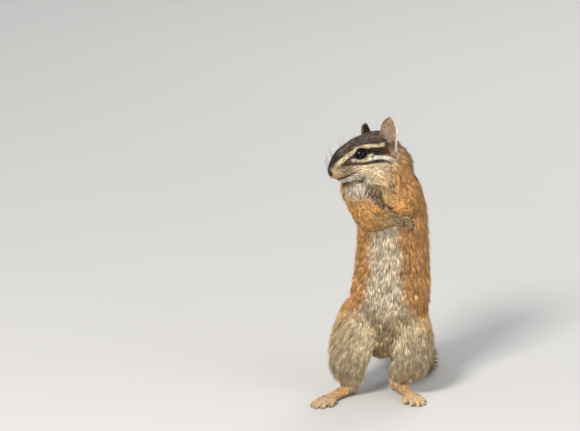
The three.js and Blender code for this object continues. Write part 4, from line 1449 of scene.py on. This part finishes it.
class Finish:
    """A material and the nodes in it."""

    def __init__(self, name: str) -> None:
        """Start a material with a Principled shader."""
        self.material = bpy.data.materials.new(name)
        self.material.use_nodes = True
        self.tree = self.material.node_tree
        self.shader = self.tree.nodes["Principled BSDF"]

    def add(
        self, kind: str, settings: dict | None = None, values: list | dict | None = None, out: int | str = 0
    ) -> Socket:
        """Add a node.

        Args:
            kind: Its type.
            settings: Its own settings, set first.
            values: The values or links of its inputs, in order or by name.
            out: The output that is given back.

        Returns:
            That output.
        """
        node = self.tree.nodes.new(kind)
        for key, value in (settings or {}).items():
            if key == "stops":
                ramp = node.color_ramp
                while len(ramp.elements) < len(value):
                    ramp.elements.new(0.5)
                for element, (at, colour) in zip(ramp.elements, value):
                    element.position, element.color = at, (*colour, 1.0)
            else:
                setattr(node, key, value)
        pairs = enumerate(values) if isinstance(values, list) else (values or {}).items()
        for key, value in pairs:
            self.put(node.inputs[key], value)
        return Socket(self, node.outputs[out])

    def put(self, target: bpy.types.NodeSocket, value: "Socket | float | tuple") -> None:
        """Link a value to an input, or set it there."""
        if isinstance(value, Socket):
            self.tree.links.new(value.socket, target)
        else:
            target.default_value = value

    def shade(self, **values: "Socket | float | tuple") -> bpy.types.Material:
        """Set the inputs of the shader by their names, with _ for a space."""
        for key, value in values.items():
            self.put(self.shader.inputs[key.replace("_", " ")], value)
        return self.material

    def attribute(self, name: str, out: str = "Fac") -> Socket:
        """Read an attribute of the piece."""
        return self.add("ShaderNodeAttribute", {"attribute_name": name}, None, out)

    def place(self) -> Socket:
        """Give the place on the piece."""
        return self.add("ShaderNodeTexCoord", None, None, "Object")

    def noise(self, scale: float, detail: float = 3.0) -> Socket:
        """Give a soft noise over the piece, from 0 to 1."""
        values = {"Vector": self.place(), "Scale": scale, "Detail": detail}
        return self.add("ShaderNodeTexNoise", None, values)

    def tinted(self, colour: Socket, factor: Socket | float) -> Socket:
        """Scale a colour."""
        return self.add("ShaderNodeVectorMath", {"operation": "SCALE"}, {0: colour, "Scale": factor})

    def mixed(self, factor: Socket, a: Socket | Array | tuple, b: Socket | Array | tuple) -> Socket:
        """Mix two colours."""
        node = self.tree.nodes.new("ShaderNodeMix")
        node.data_type = "RGBA"
        self.put(node.inputs["Factor"], factor)
        for key, value in ((6, a), (7, b)):
            self.put(node.inputs[key], value if isinstance(value, Socket) else (*value, 1.0))
        return Socket(self, node.outputs[2])

    def bump(self, height: Socket, strength: float, distance: float) -> Socket:
        """Give the normal of a bumpy surface."""
        values = {"Height": height, "Strength": strength, "Distance": distance}
        return self.add("ShaderNodeBump", None, values)


@dataclass(frozen=True)
class CoatFinish:
    """Hair that is darker at the root, lighter towards the tip, and uneven from tuft to tuft."""

    root: float = 0.36
    tip: float = 1.22
    roughness: float = 0.68
    tail_bands: tuple = (
        (0.0, "7d5630"),
        (0.35, "8f6437"),
        (0.5, "2c211a"),
        (0.74, "31261e"),
        (0.86, "c4a878"),
        (1.0, "d2bb90"),
    )

    def make(self) -> bpy.types.Material:
        """Make the material."""
        f = Finish("coat_hair")
        along = f.attribute("tip")
        smooth = {"interpolation_type": "SMOOTHSTEP"}
        rise = f.add("ShaderNodeMapRange", smooth, [along, 0.0, 0.55, self.root, self.tip])
        patch = f.noise(420.0) * 0.3 + 0.85
        hair = f.tinted(f.attribute("hair", "Color"), rise * f.attribute("tone") * patch)
        stops = [(at, srgb(code)) for at, code in self.tail_bands]
        band = f.add("ShaderNodeValToRGB", {"stops": stops}, [along], "Color")
        tail = f.tinted(band, f.attribute("tone"))
        colour = f.mixed(f.attribute("long"), hair, tail)
        return f.shade(Base_Color=colour, Roughness=self.roughness, Specular_IOR_Level=0.22)


@dataclass(frozen=True)
class SkinFinish:
    """The skin under the coat, dark between the hairs, and bare on the nose, lids and soles."""

    def make(self) -> bpy.types.Material:
        """Make the material."""
        f = Finish("skin")
        bare = f.attribute("bare")
        hair = f.attribute("hair", "Color")
        fine = f.noise(2600.0, 4.0)
        patch = f.noise(500.0)
        under = f.tinted(hair, (patch * 0.4 + 0.5) * (fine * 0.6 + 0.65))
        skin = f.tinted(hair, patch * 0.25 + 0.85)
        cells = {"Vector": f.place(), "Scale": 3200.0}
        pebble = f.add("ShaderNodeTexVoronoi", {"feature": "F1"}, cells, "Distance")
        height = fine * (1 - bare) + pebble * bare * 0.6
        return f.shade(
            Base_Color=f.mixed(bare, under, skin),
            Roughness=0.85 - bare * 0.42,
            Specular_IOR_Level=0.35,
            Normal=f.bump(height, 0.5, 0.00012),
        )


@dataclass(frozen=True)
class EyeFinish:
    """A wet near-black eye with a faint brown iris."""

    def make(self) -> bpy.types.Material:
        """Make the material."""
        f = Finish("eye")
        iris = f.mixed(f.noise(900.0), srgb("030202"), srgb("0b0706"))
        return f.shade(
            Base_Color=iris, Roughness=0.04, Coat_Weight=0.1, Coat_Roughness=0.02, Specular_IOR_Level=0.14
        )


@dataclass(frozen=True)
class HornFinish:
    """Claws: dark horn, paler and clearer towards the tip."""

    def make(self) -> bpy.types.Material:
        """Make the material."""
        f = Finish("claw_horn")
        grain = f.noise(1800.0) * 0.5 + 0.75
        base = f.mixed(f.attribute("tip"), srgb("1c1613"), srgb("382c24"))
        return f.shade(Base_Color=f.tinted(base, grain), Roughness=0.4, Coat_Weight=0.15)


@dataclass(frozen=True)
class WhiskerFinish:
    """Whiskers: dark, a little shiny."""

    def make(self) -> bpy.types.Material:
        """Make the material."""
        f = Finish("whisker")
        hair = f.mixed(f.noise(300.0), srgb("1d1814"), srgb("3a3028"))
        return f.shade(Base_Color=hair, Roughness=0.4)


class Strands:
    """Thin tapered strands along guide lines, made by Geometry Nodes."""

    def __init__(self, name: str, sides: int) -> None:
        """Build the tree.

        Args:
            name: The name of the tree.
            sides: The sides of each strand.
        """
        tree = bpy.data.node_groups.new(name, "GeometryNodeTree")
        tree.interface.new_socket("Guides", in_out="INPUT", socket_type="NodeSocketGeometry")
        count = tree.interface.new_socket("Sides", in_out="INPUT", socket_type="NodeSocketInt")
        finish = tree.interface.new_socket("Finish", in_out="INPUT", socket_type="NodeSocketMaterial")
        tree.interface.new_socket("Strands", in_out="OUTPUT", socket_type="NodeSocketGeometry")
        self.sides_id, self.finish_id = count.identifier, finish.identifier
        self.sides, self.tree = sides, tree
        start, end, to_curve, radius, thick, ring, to_mesh, smooth, real, dress = (
            tree.nodes.new(kind)
            for kind in (
                "NodeGroupInput",
                "NodeGroupOutput",
                "GeometryNodeMeshToCurve",
                "GeometryNodeSetCurveRadius",
                "GeometryNodeInputNamedAttribute",
                "GeometryNodeCurvePrimitiveCircle",
                "GeometryNodeCurveToMesh",
                "GeometryNodeSetShadeSmooth",
                "GeometryNodeRealizeInstances",
                "GeometryNodeSetMaterial",
            )
        )
        thick.data_type = "FLOAT"
        thick.inputs["Name"].default_value = "thick"
        ring.inputs["Radius"].default_value = 1.0
        to_mesh.inputs["Fill Caps"].default_value = True
        joints = [
            (start, "Guides", to_curve, "Mesh"),
            (to_curve, "Curve", radius, "Curve"),
            (thick, "Attribute", radius, "Radius"),
            (start, "Sides", ring, "Resolution"),
            (radius, "Curve", to_mesh, "Curve"),
            (ring, "Curve", to_mesh, "Profile Curve"),
            (to_mesh, "Mesh", smooth, "Geometry"),
            (smooth, "Geometry", real, "Geometry"),
            (real, "Geometry", dress, "Geometry"),
            (start, "Finish", dress, "Material"),
            (dress, "Geometry", end, "Strands"),
        ]
        if "Scale" in to_mesh.inputs:
            joints.append((thick, "Attribute", to_mesh, "Scale"))
        for source, out, target, into in joints:
            tree.links.new(source.outputs[out], target.inputs[into])

    def grow(
        self, name: str, lines: list[Array], material: bpy.types.Material, place: Place
    ) -> bpy.types.Object:
        """Make one piece from guide lines.

        Args:
            name: The name of the piece.
            lines: Rows of x, y, z and radius for each strand, in millimetres.
            material: The finish.
            place: The model's frame.

        Returns:
            The piece, a plain mesh.
        """
        mesh = bpy.data.meshes.new(name + "_guides")
        points = np.vstack([line[:, :3] for line in lines])
        edges, start = [], 0
        for line in lines:
            edges += [(start + i, start + i + 1) for i in range(len(line) - 1)]
            start += len(line)
        mesh.from_pydata(place.metres(points).tolist(), edges, [])
        guide = stand(name + "_guides", mesh)
        radii = np.concatenate([line[:, 3] for line in lines]).astype(np.float32)
        give(guide, "thick", "FLOAT", radii * MM)
        give(guide, "tip", "FLOAT", np.concatenate([np.linspace(0, 1, len(line)) for line in lines]))
        modifier = guide.modifiers.new("strands", "NODES")
        modifier.node_group = self.tree
        modifier[self.sides_id] = self.sides
        modifier[self.finish_id] = material
        made = bpy.data.meshes.new_from_object(guide.evaluated_get(bpy.context.evaluated_depsgraph_get()))
        made.name = name
        bpy.data.objects.remove(guide)
        if not made.materials:
            made.materials.append(material)
        return stand(name, made)


class Features:
    """The eyes, claws and whiskers."""

    def __init__(self, body: Body, place: Place) -> None:
        """Keep the forms and the frame."""
        self.body, self.place = body, place

    def eye(self, side: Side, material: bpy.types.Material) -> bpy.types.Object:
        """Make one eyeball, a little fuller over the pupil."""
        rows, columns = 24, 40
        points = [(0.0, 0.0, -1.0)]
        for i in range(1, rows):
            t = math.pi * i / rows - math.pi / 2
            for j in range(columns):
                a = 2 * math.pi * j / columns
                points.append((math.cos(t) * math.cos(a), math.cos(t) * math.sin(a), math.sin(t)))
        points.append((0.0, 0.0, 1.0))
        last = 1 + (rows - 2) * columns
        faces = []
        for j in range(columns):
            k = (j + 1) % columns
            faces += [(0, 1 + k, 1 + j), (last + j, last + k, len(points) - 1)]
            for a in range(1, last, columns):
                faces.append((a + j, a + k, a + columns + k, a + columns + j))
        q = np.array(points)
        q *= (1 + 0.03 * ease(0.8, 1.0, q[:, 2]))[:, None]
        head = self.body.head
        along, _, out = head.gaze(side)
        axes = np.array([along, np.cross(out, along), out]) @ head.axes
        mesh = bpy.data.meshes.new(f"eyeball_{side.value}")
        at = (q * head.eye_radius) @ axes + head.eye_at(side)
        mesh.from_pydata(self.place.metres(at).tolist(), [], faces)
        mesh.shade_smooth()
        mesh.materials.append(material)
        piece = stand(f"eyeball_{side.value}", mesh)
        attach(piece, "root")
        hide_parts(f"eye_{side.value}")
        return piece

    @staticmethod
    def curved(root: Array, way: Array, length: float, radius: float, hook: Array, steps: int) -> Array:
        """Give the guide of a tapered strand that bends from a root towards a hook."""
        t = np.linspace(0, 1, steps)[:, None]
        at = root + unit(way) * length * (t - 0.25 * t * t) + hook * length * 0.45 * t * t
        return np.hstack([at, radius * (1 - t) ** 0.6 + 0.03])

    def claws(self, strands: Strands, material: bpy.types.Material) -> bpy.types.Object:
        """Make the claws of all four feet."""
        lines = []
        down = np.array([0, 0, -0.75])
        for leg in LEGS.values():
            for _, _, end, spread in leg.toe_lines():
                root, way = end + np.array([0, 0, 0.25]), spread + np.array([0, 0, 0.15])
                lines.append(self.curved(root, way, leg.claw, 0.42, down, 6))
        for arm in ARMS.values():
            hook = unit(np.array(arm.curl)) * 0.4 - unit(np.array(arm.knuckle_way)) * 0.35
            for _, _, end, way in arm.fingers():
                lines.append(self.curved(end - way * 0.3, way, arm.claw + 0.9, 0.52, hook, 6))
        piece = strands.grow("claws", lines, material, self.place)
        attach(piece, "root")
        return piece

    def whiskers(self, strands: Strands, material: bpy.types.Material) -> bpy.types.Object:
        """Make the whiskers in rows on both sides of the muzzle, and a few over the eyes."""
        rng = np.random.default_rng(WHISKER_SEED)
        head, lines = self.body.head, []
        hook = np.array([-0.5, 0.0, 0.12]) @ head.axes
        back = np.array([-0.6, 0, 0]) @ head.axes
        for side in Side:
            for row in range(4):
                for place in range(5):
                    out = (2.7 + 0.42 * place) * side.sign
                    root = np.array([17.6 - 1.15 * place, out, -2.2 - 0.75 * row])
                    way = np.array([0.3 - 0.14 * place, side.sign * 0.9, 0.62 - 0.28 * row])
                    way = unit(way + rng.normal(0, 0.09, 3)) @ head.axes
                    length = (9 + 2.6 * place) * rng.uniform(0.8, 1.15)
                    lines.append(self.curved(head.outward(root), way, length, 0.08, hook, 9))
            for place in range(3):
                root = np.array([8.5 - 1.2 * place, 4.2 * side.sign, 5.2])
                way = unit(np.array([0.1, 0.5 * side.sign, 1.0]) + rng.normal(0, 0.08, 3)) @ head.axes
                lines.append(self.curved(head.outward(root), way, 7.0, 0.055, back, 7))
        piece = strands.grow("whiskers", lines, material, self.place)
        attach(piece, "root")
        return piece


@dataclass(frozen=True)
class Lamp:
    """A soft light: its place and size in metres, its power in watts, and its colour."""

    name: str
    at: tuple
    power: float
    size: float
    colour: tuple

    def hang(self) -> None:
        """Add the light, pointed at the animal."""
        data = bpy.data.lights.new(self.name, "AREA")
        data.energy, data.size, data.color = self.power, self.size, self.colour
        lamp = stand(self.name, data)
        lamp.location = self.at
        lamp.rotation_euler = (Vector((0, 0, 0.07)) - Vector(self.at)).to_track_quat("-Z", "Y").to_euler()


@dataclass(frozen=True)
class Studio:
    """A pale floor, soft light, and the camera of the photograph's view."""

    lamps: tuple = (
        Lamp("key", (-0.48, -0.95, 0.85), 20.0, 0.3, (1.0, 0.965, 0.91)),
        Lamp("fill", (0.9, -0.7, 0.5), 4.6, 0.9, (0.93, 0.96, 1.0)),
        Lamp("rim", (0.35, 0.8, 0.7), 4.0, 0.5, (1.0, 0.97, 0.92)),
    )
    sky: tuple = (0.9, 0.93, 1.0, 1.0)
    sky_strength: float = 0.55
    floor_half: float = 6.0
    distance: float = 3.0
    elevation: float = 15.0
    frame_width: float = 0.2668
    aim: tuple = (-43.7, 0.0, 83.1)

    def camera(self, place: Place) -> None:
        """Set the camera."""
        data = bpy.data.cameras.new("camera")
        data.sensor_width = 36.0
        data.lens = data.sensor_width * self.distance / self.frame_width
        data.clip_end = 50.0
        camera = stand("camera", data)
        e = math.radians(self.elevation)
        way = np.array([0, -math.cos(e), math.sin(e)])
        camera.location = place.metres(np.array(self.aim)) + self.distance * way
        camera.rotation_euler = (math.pi / 2 - e, 0, 0)
        bpy.context.scene.camera = camera

    def floor(self) -> None:
        """Lay the floor."""
        f, h = Finish("floor"), self.floor_half
        paint_mix = f.mixed(f.noise(3.0), (0.52, 0.51, 0.49), (0.56, 0.55, 0.53))
        mesh = bpy.data.meshes.new("floor")
        mesh.from_pydata([(-h, -h, 0), (h, -h, 0), (h, h, 0), (-h, h, 0)], [], [(0, 1, 2, 3)])
        mesh.materials.append(f.shade(Base_Color=paint_mix, Roughness=0.9))
        floor = stand("floor", mesh)

    def build(self, place: Place) -> None:
        """Set the floor, the lights and the camera."""
        self.camera(place)
        self.floor()
        for lamp in self.lamps:
            lamp.hang()
        world = bpy.data.worlds.new("world")
        world.use_nodes = True
        sky = world.node_tree.nodes["Background"]
        sky.inputs["Color"].default_value = self.sky
        sky.inputs["Strength"].default_value = self.sky_strength
        bpy.context.scene.world = world
        bpy.context.scene.view_settings.view_transform = "Standard"


PAIRED_FLESH = ("ear", "thigh", "shin", "foot", "upper_arm", "forearm", "paw")
FLESH = (
    *("torso", "neck", "head"),
    *(f"{part}_{side.value}" for part in PAIRED_FLESH for side in Side),
    *(f"tail_{number}" for number in (1, 2, 3)),
)


def dress_skin(skin: Skin, unwrap: Unwrap, markings: Markings, place: Place) -> bpy.types.Object:
    """Make the skin's piece.

    Args:
        skin: The skin.
        unwrap: Its unwrap.
        markings: The colours.
        place: The model's frame.

    Returns:
        The piece.
    """
    piece = make_mesh("skin", place.metres(skin.at), skin.quads, SkinFinish().make())
    share = Lie.shares(skin.part_distance, SHARE_SOFT["colour"])
    colour = markings.colour(skin.at, skin.normal, share)
    give(piece, "hair", "FLOAT_COLOR", colour)
    head = skin.body.head
    q = head.inward(skin.at)
    on_head = np.linalg.norm(q, axis=1) < HEAD_REACH
    bare = ease(20.1, 20.5, q[:, 0]) * on_head + ease(0.7, 0.3, skin.at[:, 2])
    for side in Side:
        from_eye = np.linalg.norm(q - head.eye_in(side), axis=1)
        bare += 0.3 * ease(head.eye_radius + 0.9, head.eye_radius + 0.6, from_eye)
    hands_and_feet = [region.value for region in (*Pair.PAW.both, *Pair.FOOT.both)]
    bare += 0.5 * np.isin(skin.part_distance.argmin(1), hands_and_feet)
    give(piece, "bare", "FLOAT", np.clip(bare, 0, 1))
    flat = unwrap.flat(skin.at[skin.quads], np.repeat(unwrap.chart[:, None], 4, axis=1))
    give_map(piece, flat)
    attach(piece, "root")
    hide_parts(*FLESH)
    return piece


def main() -> None:
    """Build the animal and its studio, in order."""
    logging.basicConfig(level=logging.INFO, format="%(name)s: %(message)s")
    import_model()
    body = Body()
    place = Place(body.head)
    Studio().build(place)
    LOG.info("%s: ready", Stage.STUDIO.value)
    skin = Skin(body, Grid())
    unwrap, markings, lie = Unwrap(skin), Markings(body), Lie(body)
    dress_skin(skin, unwrap, markings, place)
    LOG.info("%s: %d faces", Stage.SKIN.value, len(skin.quads))
    coat = Coat(skin, unwrap, markings, lie, 1.0)
    pieces = coat.pieces(place, CoatFinish().make())
    LOG.info("%s: %d tufts in %d pieces", Stage.COAT.value, len(coat.roots.at), len(pieces))
    features = Features(body, place)
    wet = EyeFinish().make()
    for side in Side:
        features.eye(side, wet)
    LOG.info("%s: two eyeballs", Stage.EYES.value)
    features.claws(Strands("claw_strands", 8), HornFinish().make())
    LOG.info("%s: one piece", Stage.CLAWS.value)
    features.whiskers(Strands("whisker_strands", 5), WhiskerFinish().make())
    LOG.info("%s: one piece", Stage.WHISKERS.value)


if __name__ == "__main__":
    main()
